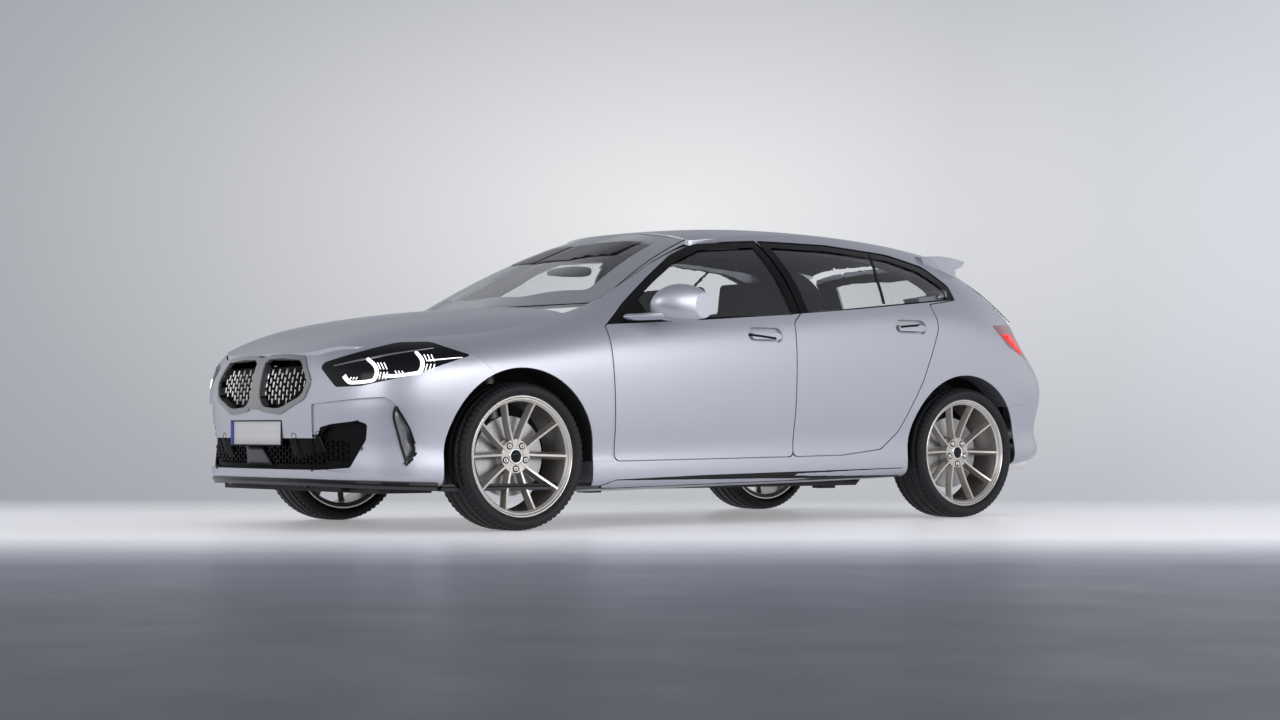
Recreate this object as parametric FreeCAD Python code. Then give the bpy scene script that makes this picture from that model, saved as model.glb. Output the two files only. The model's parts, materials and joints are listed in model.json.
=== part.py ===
import FreeCAD, Part
import math
import os
from FreeCAD import Vector

# Hatchback car, five doors, in millimetres. +Z is up, the car faces -Y, its left side is +X,
# and the origin lies on the ground under the middle of the car.

doc = FreeCAD.newDocument("hatchback")
sheet = doc.addObject("Spreadsheet::Sheet", "Sizes")

# Driving sizes: alias, value, what it is.
SIZES = [
    ("front_overhang", 842, "nose to front axle"),
    ("wheelbase", 2670, "front axle to rear axle"),
    ("rear_overhang", 807, "rear axle to tail"),
    ("body_width", 1799, "over the door skins, without mirrors"),
    ("body_height", 1434, "ground to the top of the roof"),
    ("tyre_radius", 325, "outer radius of the tyres"),
    ("tyre_width", 235, "section width of the tyres"),
    ("tyre_tuck", 6, "body side to the tyre's outer wall"),
    ("arch_clearance", 62, "tyre tread to the edge of the wheel arch"),
    ("liner_wall", 6, "wheel arch liner"),
    ("skin", 8, "outer panel skin"),
    ("door_flange", 20, "outer door panel with its hem and seal"),
    ("door_depth", 95, "whole door below the window"),
    ("frame_depth", 120, "depth of pillars and sills behind the skin"),
    ("shut_gap", 5.4, "gap between a moving panel and its neighbour"),
    ("panel_gap", 0.4, "gap between fixed panels"),
    ("seat_clearance", 0.3, "gap where a piece rests on its carrier"),
    ("door_step", 34, "overlap of the door skin on the body frame"),
    ("door_sweep", 14, "clearance of the inner door box in its opening"),
    ("trim_step", 5, "window frame set back from the lower door skin"),
    ("glass_thickness", 4, "side glass"),
    ("glass_depth", 11, "side glass set back from the door skin"),
    ("screen_thickness", 6, "windscreen and tailgate glass"),
    ("lamp_depth", 50, "lamps behind the skin"),
    ("grille_depth", 44, "back of the grilles behind the skin"),
    ("grille_sheet", 8, "mesh of the grilles"),
    ("recess_depth", 28, "air channel at the bumper's corner, where it is deepest"),
    ("handle_depth", 14, "bowl behind a door handle"),
    ("handle_rise", 11, "door handle in front of the skin"),
    ("bonnet_thickness", 16, "bonnet skin with its inner frame"),
    ("roof_thickness", 22, "roof skin with its bows"),
    ("tailgate_thickness", 26, "tailgate skin with its inner frame"),
    ("floor_height", 168, "ground to the underside of the floor"),
    ("pad_width", 80, "jacking pads under the floor"),
    ("pad_height", 14, "jacking pads under the floor"),
    ("floor_thickness", 22, "floor pan"),
    ("rim_radius", 266, "outer lip of the wheel rim"),
    ("rim_half_width", 102, "middle of the rim to its outer lip"),
    ("rim_flange", 6, "thickness of the rim's lips"),
    ("rim_well_radius", 249, "outside of the rim barrel"),
    ("rim_wall", 9, "thickness of the rim barrel"),
    ("hub_radius", 74, "wheel hub pad"),
    ("hub_face", 46, "front of the hub pad from the middle of the rim"),
    ("hub_back", 14, "mounting face from the middle of the rim"),
    ("hub_bore", 33.3, "radius of the wheel's centre bore"),
    ("bolt_circle", 112, "wheel bolt circle, diameter"),
    ("bolt_hole", 7, "radius of the wheel bolt holes"),
    ("spoke_thickness", 30, "depth of a spoke from front to back"),
    ("spoke_ridge", 9, "width of a spoke's front ridge"),
    ("spoke_foot", 32, "width of a spoke at its back"),
    ("disc_radius", 176, "brake disc"),
    ("disc_thickness", 24, "brake disc"),
    ("disc_hat_radius", 82, "hat of the brake disc"),
    ("disc_back", -34, "inner face of the brake disc from the middle of the rim"),
    ("shaft_clearance", 0.05, "running clearance of the wheel spindles"),
    ("steer_foot", 95, "steering axis from the tyre's middle, at axle height, inwards"),
    ("seat_width", 520, "front seat"),
    ("engine_length", 560, "engine and gearbox across the car"),
    ("engine_width", 480, "engine along the car"),
    ("engine_height", 520, "engine from sump to cover"),
    ("exhaust_radius", 42, "tail pipe"),
    ("beam_radius", 32, "rear axle beam"),
    ("overrun", 60, "how far a cutting shape runs past what it cuts"),
]
for row, (alias, value, note) in enumerate(SIZES, 1):
    sheet.set("A%d" % row, alias)
    sheet.set("B%d" % row, str(value))
    sheet.set("C%d" % row, note)
    sheet.setAlias("B%d" % row, alias)
doc.recompute()


def size(alias):
    return float(sheet.get(alias))


half_width = size("body_width") / 2
half_length = (size("front_overhang") + size("wheelbase") + size("rear_overhang")) / 2
height = size("body_height")
front_axle = size("front_overhang") - half_length
rear_axle = half_length - size("rear_overhang")
tyre_middle = half_width - size("tyre_tuck") - size("tyre_width") / 2
arch_radius = size("tyre_radius") + size("arch_clearance")
shut = size("shut_gap") / 2
over = size("overrun")

# Lengthwise places are shares of the half length. The axles stand at these shares, and the
# three stretches between nose, axles and tail follow the overhangs and the wheelbase.
axle_shares = (-0.61, 0.626)


def along(share):
    front, rear = axle_shares
    if share < front:
        return front_axle + (share - front) / (1 + front) * size("front_overhang")
    if share > rear:
        return rear_axle + (share - rear) / (1 - rear) * size("rear_overhang")
    return front_axle + (share - front) / (rear - front) * size("wheelbase")


def at(x_share, y_share, z_share):
    return Vector(x_share * half_width, along(y_share), z_share * height)


def spline_face(net):
    rows, columns = len(net), len(net[0])
    surface = Part.BSplineSurface()
    surface.buildFromPolesMultsKnots(
        net, [4] + [1] * (rows - 4) + [4], [4] + [1] * (columns - 4) + [4],
        list(range(rows - 2)), list(range(columns - 2)), False, False, 3, 3)
    return surface.toShape()


def inward(net, depth, held_rows=0):
    """The net moved inwards by a depth, or by a depth for each column. The held lowest rows
    follow the first row above them."""
    depths = depth if isinstance(depth, list) else [depth] * len(net[0])
    moved = []
    for row in range(len(net)):
        line = []
        for column in range(len(net[0])):
            r = max(row, held_rows)
            up = net[min(r + 1, len(net) - 1)][column] - net[max(r - 1, 0)][column]
            back = net[r][min(column + 1, len(net[0]) - 1)] - net[r][max(column - 1, 0)]
            normal = back.cross(up)
            normal.normalize()
            line.append(net[row][column] - normal * depths[column])
        moved.append(line)
    return moved


def slab(net, near, far, held_rows=0):
    """The solid between two depths below the net's surface."""
    outer = spline_face(inward(net, near, held_rows))
    inner = spline_face(inward(net, far, held_rows))
    a, b = outer.Surface, inner.Surface
    u_end, v_end = len(net) - 3, len(net[0]) - 3
    sides = []
    for u in (0, u_end):
        sides.append(Part.makeRuledSurface(a.uIso(u).toShape(), b.uIso(u).toShape()))
    for v in (0, v_end):
        sides.append(Part.makeRuledSurface(a.vIso(v).toShape(), b.vIso(v).toShape()))
    joined = Part.makeCompound([outer, inner] + sides)
    joined.sewShape()
    solid = Part.makeSolid(joined.Shells[0])
    if solid.Volume < 0:
        solid.reverse()
    return solid


def rounded(points, inset=0):
    """A closed wire through (a, b, radius) points of a plane, inset, with rounded corners."""
    count = len(points)
    area = sum(points[i - 1][0] * points[i][1] - points[i][0] * points[i - 1][1]
               for i in range(count))
    turn = 1 if area > 0 else -1
    corners = []
    for i in range(count):
        before, here, after = points[i - 1], points[i], points[(i + 1) % count]
        d1 = (here[0] - before[0], here[1] - before[1])
        d2 = (after[0] - here[0], after[1] - here[1])
        l1, l2 = math.hypot(*d1), math.hypot(*d2)
        n1 = (-d1[1] / l1 * turn, d1[0] / l1 * turn)
        n2 = (-d2[1] / l2 * turn, d2[0] / l2 * turn)
        scale = inset / (1 + n1[0] * n2[0] + n1[1] * n2[1])
        corners.append((here[0] + (n1[0] + n2[0]) * scale, here[1] + (n1[1] + n2[1]) * scale,
                        here[2]))
    edges = []
    ends = []
    for i in range(count):
        before, here, after = corners[i - 1], corners[i], corners[(i + 1) % count]
        p = Vector(here[0], here[1], 0)
        to_before = Vector(before[0], before[1], 0) - p
        to_after = Vector(after[0], after[1], 0) - p
        half_turn = (math.pi - to_before.getAngle(to_after)) / 2
        reach = min(here[2] * math.tan(half_turn), to_before.Length * half_share,
                    to_after.Length * half_share)
        to_before.normalize()
        to_after.normalize()
        start, end = p + to_before * reach, p + to_after * reach
        if reach > 0 and half_turn > 0:
            radius = reach / math.tan(half_turn)
            middle = to_before + to_after
            middle.normalize()
            apex = p + middle * (radius / math.cos(half_turn) - radius)
            edges.append(Part.Arc(start, apex, end).toShape())
        ends.append((start, end))
    lines = []
    for i in range(count):
        start, end = ends[i][1], ends[(i + 1) % count][0]
        if (end - start).Length > 0:
            lines.append(Part.LineSegment(start, end).toShape())
    return Part.Wire(Part.__sortEdges__(edges + lines))


# Corners take at most this share of the shorter run beside them.
half_share = 0.49


def prism(points, plane, low, high, inset=0):
    """The outline, in the plane named by its axes, pulled from low to high across it."""
    wire = rounded(points, inset)
    face = Part.Face(wire)
    if plane == "yz":
        face.transformShape(FreeCAD.Matrix(0, 0, 1, 0, 1, 0, 0, 0, 0, 1, 0, 0, 0, 0, 0, 1))
        face.translate(Vector(low, 0, 0))
        return face.extrude(Vector(high - low, 0, 0))
    if plane == "xz":
        face.transformShape(FreeCAD.Matrix(1, 0, 0, 0, 0, 0, 1, 0, 0, 1, 0, 0, 0, 0, 0, 1))
        face.translate(Vector(0, low, 0))
        return face.extrude(Vector(0, high - low, 0))
    face.translate(Vector(0, 0, low))
    return face.extrude(Vector(0, 0, high - low))


def side_points(shares):
    return [(along(y), z * height, r * height) for y, z, r in shares]


def plan_points(shares):
    """Both halves of a left outline given from above."""
    left = [(x * half_width, along(y), r * height) for x, y, r in shares]
    right = [(-x, y, r) for x, y, r in reversed(left) if x > 0]
    return left + right


def front_points(shares):
    return [(x * half_width, z * height, r * height) for x, z, r in shares]


def mirrored(shape):
    return shape.mirror(Vector(0, 0, 0), Vector(1, 0, 0))


def one_solid(shape):
    """The largest solid of a boolean's result."""
    return max(shape.Solids, key=lambda s: s.Volume)


nodes = []


def feature(label, shape, place=Vector(0, 0, 0)):
    item = doc.addObject("Part::Feature", label)
    item.Label = label
    item.Shape = shape
    item.Placement = FreeCAD.Placement(place, FreeCAD.Rotation())
    nodes.append(item)
    return item

# Body surface: a ring of columns from the nose round the left side to the tail, and rows from
# the lower lip to the shoulder of the roof. The plan gives each column's place at full width.
plan_shares = [
    (0, -1), (0.322, -1), (0.639, -0.975), (0.862, -0.922), (0.958, -0.847), (0.983, -0.759),
    (0.987, -0.639), (0.987, -0.509), (0.988, -0.394), (0.992, -0.255), (0.995, -0.093),
    (0.997, 0.093), (0.998, 0.278), (0.998, 0.463), (0.996, 0.625), (0.983, 0.759),
    (0.943, 0.877), (0.828, 0.958), (0.58, 0.99), (0.289, 1), (0, 1),
]
# How far each column belongs to the nose or, counted from the other end, to the tail.
nose_weight_shares = [1, 1, 1, 1, 0.95, 0.75, 0.5, 0.22]
tail_weight_shares = [1, 1, 1, 1, 0.9, 0.6, 0.3, 0.1]
# Rows: width, how far back at the nose, how far forward at the tail, then the height at the
# nose, at the front door, at the rear door and at the tail.
row_shares = [
    (0.914, 0.032, 0.085, 0.138, 0.12, 0.143, 0.18),
    (0.963, 0.009, 0.04, 0.142, 0.127, 0.15, 0.19),
    (0.978, 0.004, 0.008, 0.171, 0.164, 0.183, 0.212),
    (0.972, 0.004, 0, 0.22, 0.209, 0.23, 0.248),
    (0.965, 0.003, 0.02, 0.279, 0.245, 0.293, 0.293),
    (0.994, 0, 0.017, 0.349, 0.314, 0.38, 0.355),
    (1.001, 0.002, 0, 0.418, 0.432, 0.474, 0.432),
    (0.999, 0.009, 0.014, 0.481, 0.53, 0.579, 0.502),
]
# The last two rows of the lower body follow the belt line: width, back, forward, height at
# the nose, how far under the belt line, height at the tail.
belt_row_shares = [
    (0.983, 0.019, 0.049, 0.52, 0.043, 0.565),
    (0.947, 0.028, 0.067, 0.543, 0, 0.628),
]
belt_shares = [
    (-1, 0.58), (-0.509, 0.621), (-0.394, 0.633), (-0.255, 0.65), (-0.093, 0.667),
    (0.093, 0.688), (0.278, 0.713), (0.463, 0.741), (0.625, 0.764), (0.759, 0.781), (1, 0.81),
]
# Top row: bonnet edge, windscreen side, roof rail and tailgate edge.
top_shares = [
    (0, -0.93, 0.584), (0.3, -0.925, 0.585), (0.48, -0.905, 0.59), (0.6, -0.865, 0.596),
    (0.69, -0.81, 0.598), (0.755, -0.735, 0.602), (0.79, -0.645, 0.616),
    (0.8, -0.523, 0.645), (0.765, -0.394, 0.695), (0.708, -0.273, 0.782), (0.618, -0.116, 0.912),
    (0.6, 0.069, 0.968), (0.606, 0.255, 0.976), (0.595, 0.44, 0.968), (0.58, 0.602, 0.946),
    (0.585, 0.722, 0.895), (0.66, 0.806, 0.79), (0.756, 0.871, 0.697), (0.534, 0.915, 0.68),
    (0.267, 0.924, 0.68), (0, 0.924, 0.68),
]
# The three rows between belt and roof rail: how far up, and how much they bulge.
upper_row_shares = [(0.26, 0.77), (0.55, 0.99), (0.83, 0.56)]
bulge_shares = (0.1, 0.06)
cabin_columns = range(8, 17)


def belt(share):
    for (a, low), (b, high) in zip(belt_shares, belt_shares[1:]):
        if share <= b:
            return low + (high - low) * (share - a) / (b - a)
    return belt_shares[-1][1]


def weight(shares, index):
    return shares[index] if index < len(shares) else 0


def ring_point(row, column):
    """A control point of the left half of the ring."""
    x, y = plan_shares[column]
    nose = weight(nose_weight_shares, column)
    tail = weight(tail_weight_shares, len(plan_shares) - 1 - column)
    if row < len(row_shares):
        width, back, forward, low, front, rear, high = row_shares[row]
        middle = front + (rear - front) * (y + 0.394) / 0.857
    else:
        width, back, forward, low, under, high = belt_row_shares[row - len(row_shares)]
        middle = belt(y) - under
    z = low * nose + high * tail + middle * (1 - nose - tail)
    return at(x * width, y + back * nose - forward * tail, z)


def ring(first, last):
    """Columns first to last; a column before the nose or past the tail is mirrored."""
    low_rows = len(row_shares) + len(belt_row_shares)
    end = len(plan_shares) - 1
    net = [[] for row in range(low_rows + len(upper_row_shares) + 1)]
    for index in range(first, last + 1):
        column = abs(index) if index <= end else 2 * end - index
        flip = -1 if index < 0 or index > end else 1
        line = [ring_point(row, column) for row in range(low_rows)]
        foot, top = line[-1], at(*top_shares[column])
        for up, bulge in upper_row_shares:
            out = Vector(top.z - foot.z, 0, foot.x - top.x) * bulge
            share = bulge_shares[0] if column in cabin_columns else bulge_shares[1]
            line.append(foot + (top - foot) * up + out * share)
        line.append(top)
        for row, point in enumerate(line):
            net[row].append(Vector(point.x * flip, point.y, point.z))
    return net


side_net = ring(-3, 23)
nose_net = ring(-11, 11)
tail_net = ring(9, 31)
low_rows_held = 3
tail_rows_held = 2


def crosswise(net):
    """A net given from the middle outwards, with its right half added; left edge first."""
    return net[::-1] + [[Vector(-p.x, p.y, p.z) for p in row] for row in net[1:]]


# Bonnet: heights over a grid of widths and lengths.
bonnet_width_shares = (0, 0.189, 0.4, 0.6, 0.767, 0.889)
bonnet_length_shares = (-0.982, -0.961, -0.908, -0.815, -0.671, -0.546, -0.463, -0.417)
bonnet_height_shares = [
    (0.52, 0.561, 0.605, 0.647, 0.681, 0.7, 0.706, 0.707),
    (0.52, 0.561, 0.605, 0.647, 0.681, 0.7, 0.706, 0.707),
    (0.517, 0.556, 0.6, 0.642, 0.676, 0.697, 0.704, 0.705),
    (0.508, 0.544, 0.586, 0.628, 0.666, 0.69, 0.699, 0.702),
    (0.477, 0.509, 0.543, 0.58, 0.626, 0.658, 0.678, 0.688),
    (0.427, 0.453, 0.488, 0.524, 0.568, 0.605, 0.631, 0.647),
]
bonnet_net = crosswise([
    [at(x, y, z) for y, z in zip(bonnet_length_shares, heights)]
    for x, heights in zip(bonnet_width_shares, bonnet_height_shares)])

# Roof: heights over a grid of widths and lengths.
roof_width_shares = (0, 0.233, 0.422, 0.534, 0.606, 0.667)
roof_length_shares = (-0.194, -0.116, 0.023, 0.208, 0.417, 0.602, 0.722, 0.787)
roof_height_shares = [
    (0.957, 0.975, 0.997, 1.003, 0.995, 0.969, 0.938, 0.924),
    (0.955, 0.974, 0.996, 1.002, 0.994, 0.969, 0.937, 0.923),
    (0.943, 0.965, 0.991, 0.998, 0.99, 0.964, 0.933, 0.919),
    (0.915, 0.941, 0.974, 0.985, 0.978, 0.953, 0.921, 0.907),
    (0.879, 0.911, 0.951, 0.971, 0.967, 0.943, 0.905, 0.888),
    (0.835, 0.877, 0.926, 0.951, 0.948, 0.926, 0.881, 0.861),
]
roof_net = crosswise([
    [at(x, y, z) for y, z in zip(roof_length_shares, heights)]
    for x, heights in zip(roof_width_shares, roof_height_shares)])

# Windscreen: its base and its top edge from the middle outwards, and how far it bows out.
screen_base_shares = [(0, -0.523, 0.697), (0.245, -0.521, 0.697), (0.478, -0.493, 0.7),
                      (0.645, -0.428, 0.706), (0.743, -0.35, 0.714)]
screen_top_shares = [(0, -0.116, 0.972), (0.183, -0.116, 0.971), (0.356, -0.104, 0.967),
                     (0.478, -0.083, 0.955), (0.565, -0.064, 0.941)]
screen_bow_share = 0.021
# Tailgate window: its top and its lower edge from the middle outwards.
gate_top_shares = [(0, 0.745, 0.912), (0.2, 0.744, 0.911), (0.38, 0.74, 0.905),
                   (0.5, 0.732, 0.893), (0.56, 0.727, 0.882)]
gate_base_shares = [(0, 0.924, 0.68), (0.25, 0.924, 0.68), (0.5, 0.915, 0.68),
                    (0.67, 0.893, 0.685), (0.75, 0.871, 0.697)]
rise_shares = (0, 0.25, 0.5, 0.75, 1)


def drape(front, rear, bow):
    """A net from a front edge to a rear edge, bowed upwards between them."""
    net = []
    for a, b in zip(front, rear):
        start, end = at(*a), at(*b)
        net.append([start + (end - start) * t + Vector(0, 0, bow * height * 4 * t * (1 - t))
                    for t in rise_shares])
    return crosswise(net)


screen_net = drape(screen_base_shares, screen_top_shares, screen_bow_share)
gate_net = drape(gate_top_shares, gate_base_shares, screen_bow_share)

# Side outlines, front to back: place along the car, height, corner radius.
front_door_shares = [
    (-0.376, 0.209, 0.021), (-0.383, 0.432, 0), (-0.392, 0.631, 0.004), (-0.324, 0.704, 0.042),
    (-0.213, 0.809, 0.139), (-0.134, 0.88, 0.139), (-0.056, 0.927, 0.139),
    (0.106, 0.943, 0.008), (0.138, 0.694, 0.014), (0.111, 0.662, 0.028), (0.107, 0.418, 0),
    (0.106, 0.218, 0.018),
]
rear_door_shares = [
    (0.106, 0.218, 0.018), (0.107, 0.418, 0), (0.111, 0.662, 0.028), (0.138, 0.694, 0.014),
    (0.111, 0.943, 0.008), (0.306, 0.941, 0.209), (0.486, 0.919, 0.174), (0.583, 0.88, 0.063),
    (0.628, 0.812, 0.017), (0.628, 0.762, 0.008), (0.533, 0.742, 0.008), (0.546, 0.669, 0.084),
    (0.487, 0.474, 0.139), (0.419, 0.3, 0.105), (0.366, 0.241, 0.042), (0.25, 0.222, 0),
]
front_glass_shares = [
    (-0.273, 0.661, 0.006), (-0.278, 0.725, 0.014), (-0.213, 0.787, 0.105),
    (-0.134, 0.856, 0.105), (-0.056, 0.902, 0.105), (0.088, 0.919, 0.007),
    (0.115, 0.687, 0.007),
]
rear_glass_shares = [
    (0.163, 0.697, 0.007), (0.135, 0.921, 0.007), (0.301, 0.918, 0.174), (0.468, 0.897, 0.139),
    (0.551, 0.861, 0.042), (0.6, 0.808, 0.013), (0.6, 0.763, 0.007),
]
# Waist: the door skin is under this line, the window frame above it.
waist_shares = [(-0.5, 0.625, 0), (-0.379, 0.638, 0), (-0.144, 0.66, 0), (0.08, 0.685, 0),
                (0.315, 0.716, 0), (0.587, 0.757, 0), (0.8, 0.787, 0)]
# Everything of the side that is body frame: A-pillar, roof rail, quarter and sill.
frame_shares = [
    (-0.45, 0.1, 0), (-0.45, 0.209, 0), (-0.381, 0.209, 0), (-0.388, 0.432, 0),
    (-0.396, 0.64, 0), (-0.43, 0.72, 0), (-0.2, 1.1, 0), (0.7, 1.1, 0), (0.731, 0.905, 0.03),
    (0.86, 0.72, 0), (1.1, 0.7, 0), (1.1, 0.556, 0), (0.862, 0.556, 0), (0.85, 0.4, 0),
    (0.76, 0.385, 0), (0.72, 0.1, 0),
]
fender_shares = [
    (-0.72, 0.53, 0), (-0.76, 0.56, 0), (-0.8, 0.7, 0), (-0.43, 0.72, 0), (-0.396, 0.64, 0),
    (-0.388, 0.432, 0), (-0.381, 0.209, 0), (-0.45, 0.209, 0), (-0.45, 0.1, 0),
    (-0.6, 0.1, 0), (-0.6, 0.4, 0), (-0.676, 0.475, 0),
]
bumper_top_shares = [
    (-1.2, 0.1, 0), (-1.2, 0.7, 0), (-0.8, 0.7, 0), (-0.76, 0.56, 0), (-0.72, 0.53, 0),
    (-0.676, 0.475, 0), (-0.6, 0.4, 0), (-0.6, 0.1, 0),
]
rear_bumper_shares = [
    (0.72, 0.1, 0), (0.76, 0.385, 0), (0.85, 0.4, 0), (0.862, 0.556, 0), (1.2, 0.556, 0),
    (1.2, 0.1, 0),
]
# Bonnet and roof seen from above, left half: width, length, corner radius.
bonnet_shares = [
    (0, -0.97, 0), (0.334, -0.97, 0), (0.467, -0.962, 0.042), (0.678, -0.919, 0.042),
    (0.778, -0.815, 0.139), (0.825, -0.685, 0.209), (0.82, -0.523, 0.139),
    (0.77, -0.445, 0.021), (0.623, -0.479, 0.105), (0.445, -0.511, 0.139), (0, -0.532, 0),
]
roof_shares = [
    (0, -0.114, 0), (0.183, -0.114, 0), (0.367, -0.103, 0.105), (0.489, -0.082, 0.07),
    (0.575, -0.056, 0.028), (0.595, 0.069, 0.279), (0.597, 0.255, 0), (0.587, 0.44, 0.279),
    (0.573, 0.602, 0), (0.57, 0.716, 0), (0, 0.736, 0),
]

far_out = half_width + over


def left_prism(shares, inset=0, low=0.0):
    return prism(side_points(shares), "yz", low, far_out, inset)


def arch(axle, radius, low, high):
    """A round wheel arch cut across the car."""
    return Part.makeCylinder(radius, high - low, Vector(low, axle, size("tyre_radius")),
                             Vector(1, 0, 0))


def below(axle, radius, low, high):
    """What lies under a wheel arch, down to the ground."""
    return Part.makeBox(high - low, 2 * radius, size("tyre_radius"),
                        Vector(low, axle - radius, 0))


skin = slab(side_net, 0, size("skin"), low_rows_held)
flange = slab(side_net, 0, size("door_flange"), low_rows_held)
window_frame = slab(side_net, size("trim_step"), size("door_flange"), low_rows_held)
door_core = slab(side_net, size("door_flange"), size("door_depth"), low_rows_held)
rebate = slab(side_net, -over, size("door_flange") + size("shut_gap"), low_rows_held)
frame_body = slab(side_net, 0, size("frame_depth"), low_rows_held)
glass_sheet = slab(side_net, size("glass_depth"), size("glass_depth") + size("glass_thickness"),
                   low_rows_held)

under_waist = prism([(along(y), z * height, r) for y, z, r in waist_shares]
                    + [(half_length, 0, 0), (-half_length, 0, 0)], "yz", 0, far_out)
over_waist = prism([(along(y), z * height, r) for y, z, r in waist_shares]
                   + [(half_length, 2 * height, 0), (-half_length, 2 * height, 0)],
                   "yz", 0, far_out)
arches_out = [
    shape for axle in (front_axle, rear_axle) for shape in
    (arch(axle, arch_radius, 0, far_out), below(axle, arch_radius, 0, far_out))]


# Door handles: middle, half length and half height of the bowl, and the grip in it.
front_handle_shares, rear_handle_shares = (0.024, 0.617), (0.455, 0.659)
bowl_shares, grip_shares = (0.047, 0.0245), (0.041, 0.0105)
post_share = 0.25
grip_drop_share = 0.004


def oval(y, z, half_y, half_z):
    """A rectangle with round ends, in shares like the side outlines."""
    return [(y - half_y, z - half_z, half_z), (y + half_y, z - half_z, half_z),
            (y + half_y, z + half_z, half_z), (y - half_y, z + half_z, half_z)]


handle_bowl = slab(side_net, -over, size("handle_depth"), low_rows_held)
handle_grip = slab(side_net, -size("handle_rise"), 0, low_rows_held)
handle_post = slab(side_net, -size("handle_rise"), size("handle_depth") + size("trim_step"),
                   low_rows_held)


def handled(body, place):
    """The door with a bowl cut in its skin and a grip held by its two ends."""
    y, z = place
    half_y, half_z = grip_shares
    grip = left_prism(oval(y, z - grip_drop_share, half_y, half_z))
    body = body.cut(handle_bowl.common(left_prism(oval(y, z, *bowl_shares))))
    parts = [handle_grip.common(grip)]
    for end in (-1, 1):
        post = left_prism(oval(y + end * half_y * (1 - post_share), z - grip_drop_share,
                               half_y * post_share, half_z))
        parts.append(handle_post.common(post))
    return body.fuse(parts)


def door(outline, window, handle_place):
    """Outer skin, set-back window frame and the deep box behind the skin."""
    whole = left_prism(outline, shut)
    core_outline = left_prism(outline, size("door_step") + size("door_sweep"))
    lower = flange.common(whole).common(under_waist)
    upper = window_frame.common(whole).common(over_waist)
    core = door_core.common(core_outline).common(under_waist)
    body = lower.fuse([upper, core]).cut(left_prism(window))
    return one_solid(handled(body.cut(arches_out).removeSplitter(), handle_place))


def pane(window):
    return one_solid(glass_sheet.common(left_prism(window, size("seat_clearance"))))


front_door = door(front_door_shares, front_glass_shares, front_handle_shares)
rear_door = door(rear_door_shares, rear_glass_shares, rear_handle_shares)

# Side frame: the whole side, rebated for the doors and open inside their rebates.
side_frame = frame_body.common(left_prism(frame_shares, size("panel_gap")))
for outline in (front_door_shares, rear_door_shares):
    side_frame = side_frame.cut(rebate.common(left_prism(outline, -shut)))
    side_frame = side_frame.cut(left_prism(outline, size("door_step")))
side_frame = side_frame.cut(arches_out)
side_frame = one_solid(side_frame)

fender = one_solid(skin.common(left_prism(fender_shares, size("panel_gap"))).cut(arches_out))

bonnet_cut = prism(plan_points(bonnet_shares), "xy", 0, 2 * height, shut)
bonnet_room = prism(plan_points(bonnet_shares), "xy", height / 2, 2 * height, -shut)
bonnet = one_solid(slab(bonnet_net, 0, size("bonnet_thickness")).common(bonnet_cut))
roof = one_solid(slab(roof_net, 0, size("roof_thickness")).common(
    prism(plan_points(roof_shares), "xy", 0, 2 * height, size("panel_gap"))))
fender = one_solid(fender.cut(bonnet_room))

nose_skin = slab(nose_net, 0, size("skin"), low_rows_held)
tail_skin = slab(tail_net, 0, size("skin"), tail_rows_held)
nose_side = prism(side_points(bumper_top_shares), "yz", -far_out, far_out, size("panel_gap"))
front_bumper = nose_skin.common(nose_side).cut(bonnet_room)
front_bumper = front_bumper.cut([shape.copy() for shape in arches_out]
                                + [mirrored(shape) for shape in arches_out])
front_bumper = one_solid(front_bumper)
tail_side = prism(side_points(rear_bumper_shares), "yz", -far_out, far_out, size("panel_gap"))
rear_bumper = tail_skin.common(tail_side)
rear_bumper = one_solid(rear_bumper.cut(arches_out + [mirrored(s) for s in arches_out]))

def wider(net, amount):
    """The net with its outer edges moved sideways by an amount."""
    side = Vector(amount, 0, 0)
    return [[p + side for p in net[0]]] + net[1:-1] + [[p - side for p in net[-1]]]


roof_room = prism(plan_points(roof_shares), "xy", height / 2, 2 * height,
                  -size("seat_clearance"))
windscreen = one_solid(slab(screen_net, 0, size("screen_thickness")).cut(roof_room))
gate_glass = one_solid(slab(gate_net, 0, size("screen_thickness")).cut(roof_room))

# Windscreen aperture: a frame under the glass, as wide as these shares of the screen.
screen_frame_shares = [
    (0, -0.48, 0), (0.4, -0.455, 0.1), (0.64, -0.35, 0.05), (0.49, -0.12, 0.02),
    (0.3, -0.15, 0.1), (0, -0.16, 0),
]
screen_seat = size("screen_thickness") + size("seat_clearance")
screen_frame = slab(screen_net, screen_seat, screen_seat + size("bonnet_thickness")).cut(
    prism(plan_points(screen_frame_shares), "xy", 0, 2 * height))
screen_frame = one_solid(screen_frame.cut(roof_room))
screen_room = slab(wider(screen_net, size("seat_clearance")), -over,
                   screen_seat + size("bonnet_thickness") + size("seat_clearance"))
roof_seat = slab(wider(roof_net, size("seat_clearance")), -over,
                 size("roof_thickness") + size("seat_clearance")).common(roof_room)
gate_seat = slab(wider(gate_net, size("shut_gap")), -over,
                 screen_seat + size("tailgate_thickness") + size("shut_gap"))
side_frame = one_solid(side_frame.cut([screen_room, roof_seat, gate_seat]))

# Tailgate: the lower panel between the lamps, the frame under the glass and the spoiler.
gate_panel_shares = [
    (0.6, 0.44, 0.03), (0.62, 0.58, 0.03), (0.79, 0.66, 0.02), (0.8, 0.74, 0),
    (-0.8, 0.74, 0), (-0.79, 0.66, 0.02), (-0.62, 0.58, 0.03), (-0.6, 0.44, 0.03),
]
gate_window_shares = [
    (0, 0.885, 0), (0.5, 0.875, 0.05), (0.62, 0.85, 0.03), (0.46, 0.755, 0.02),
    (0, 0.77, 0),
]
spoiler_shares = [
    (0, 0.741, 0), (0.575, 0.722, 0.01), (0.66, 0.715, 0.01), (0.685, 0.745, 0.02),
    (0.6, 0.775, 0.04), (0.4, 0.793, 0.05), (0, 0.799, 0),
]
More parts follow.
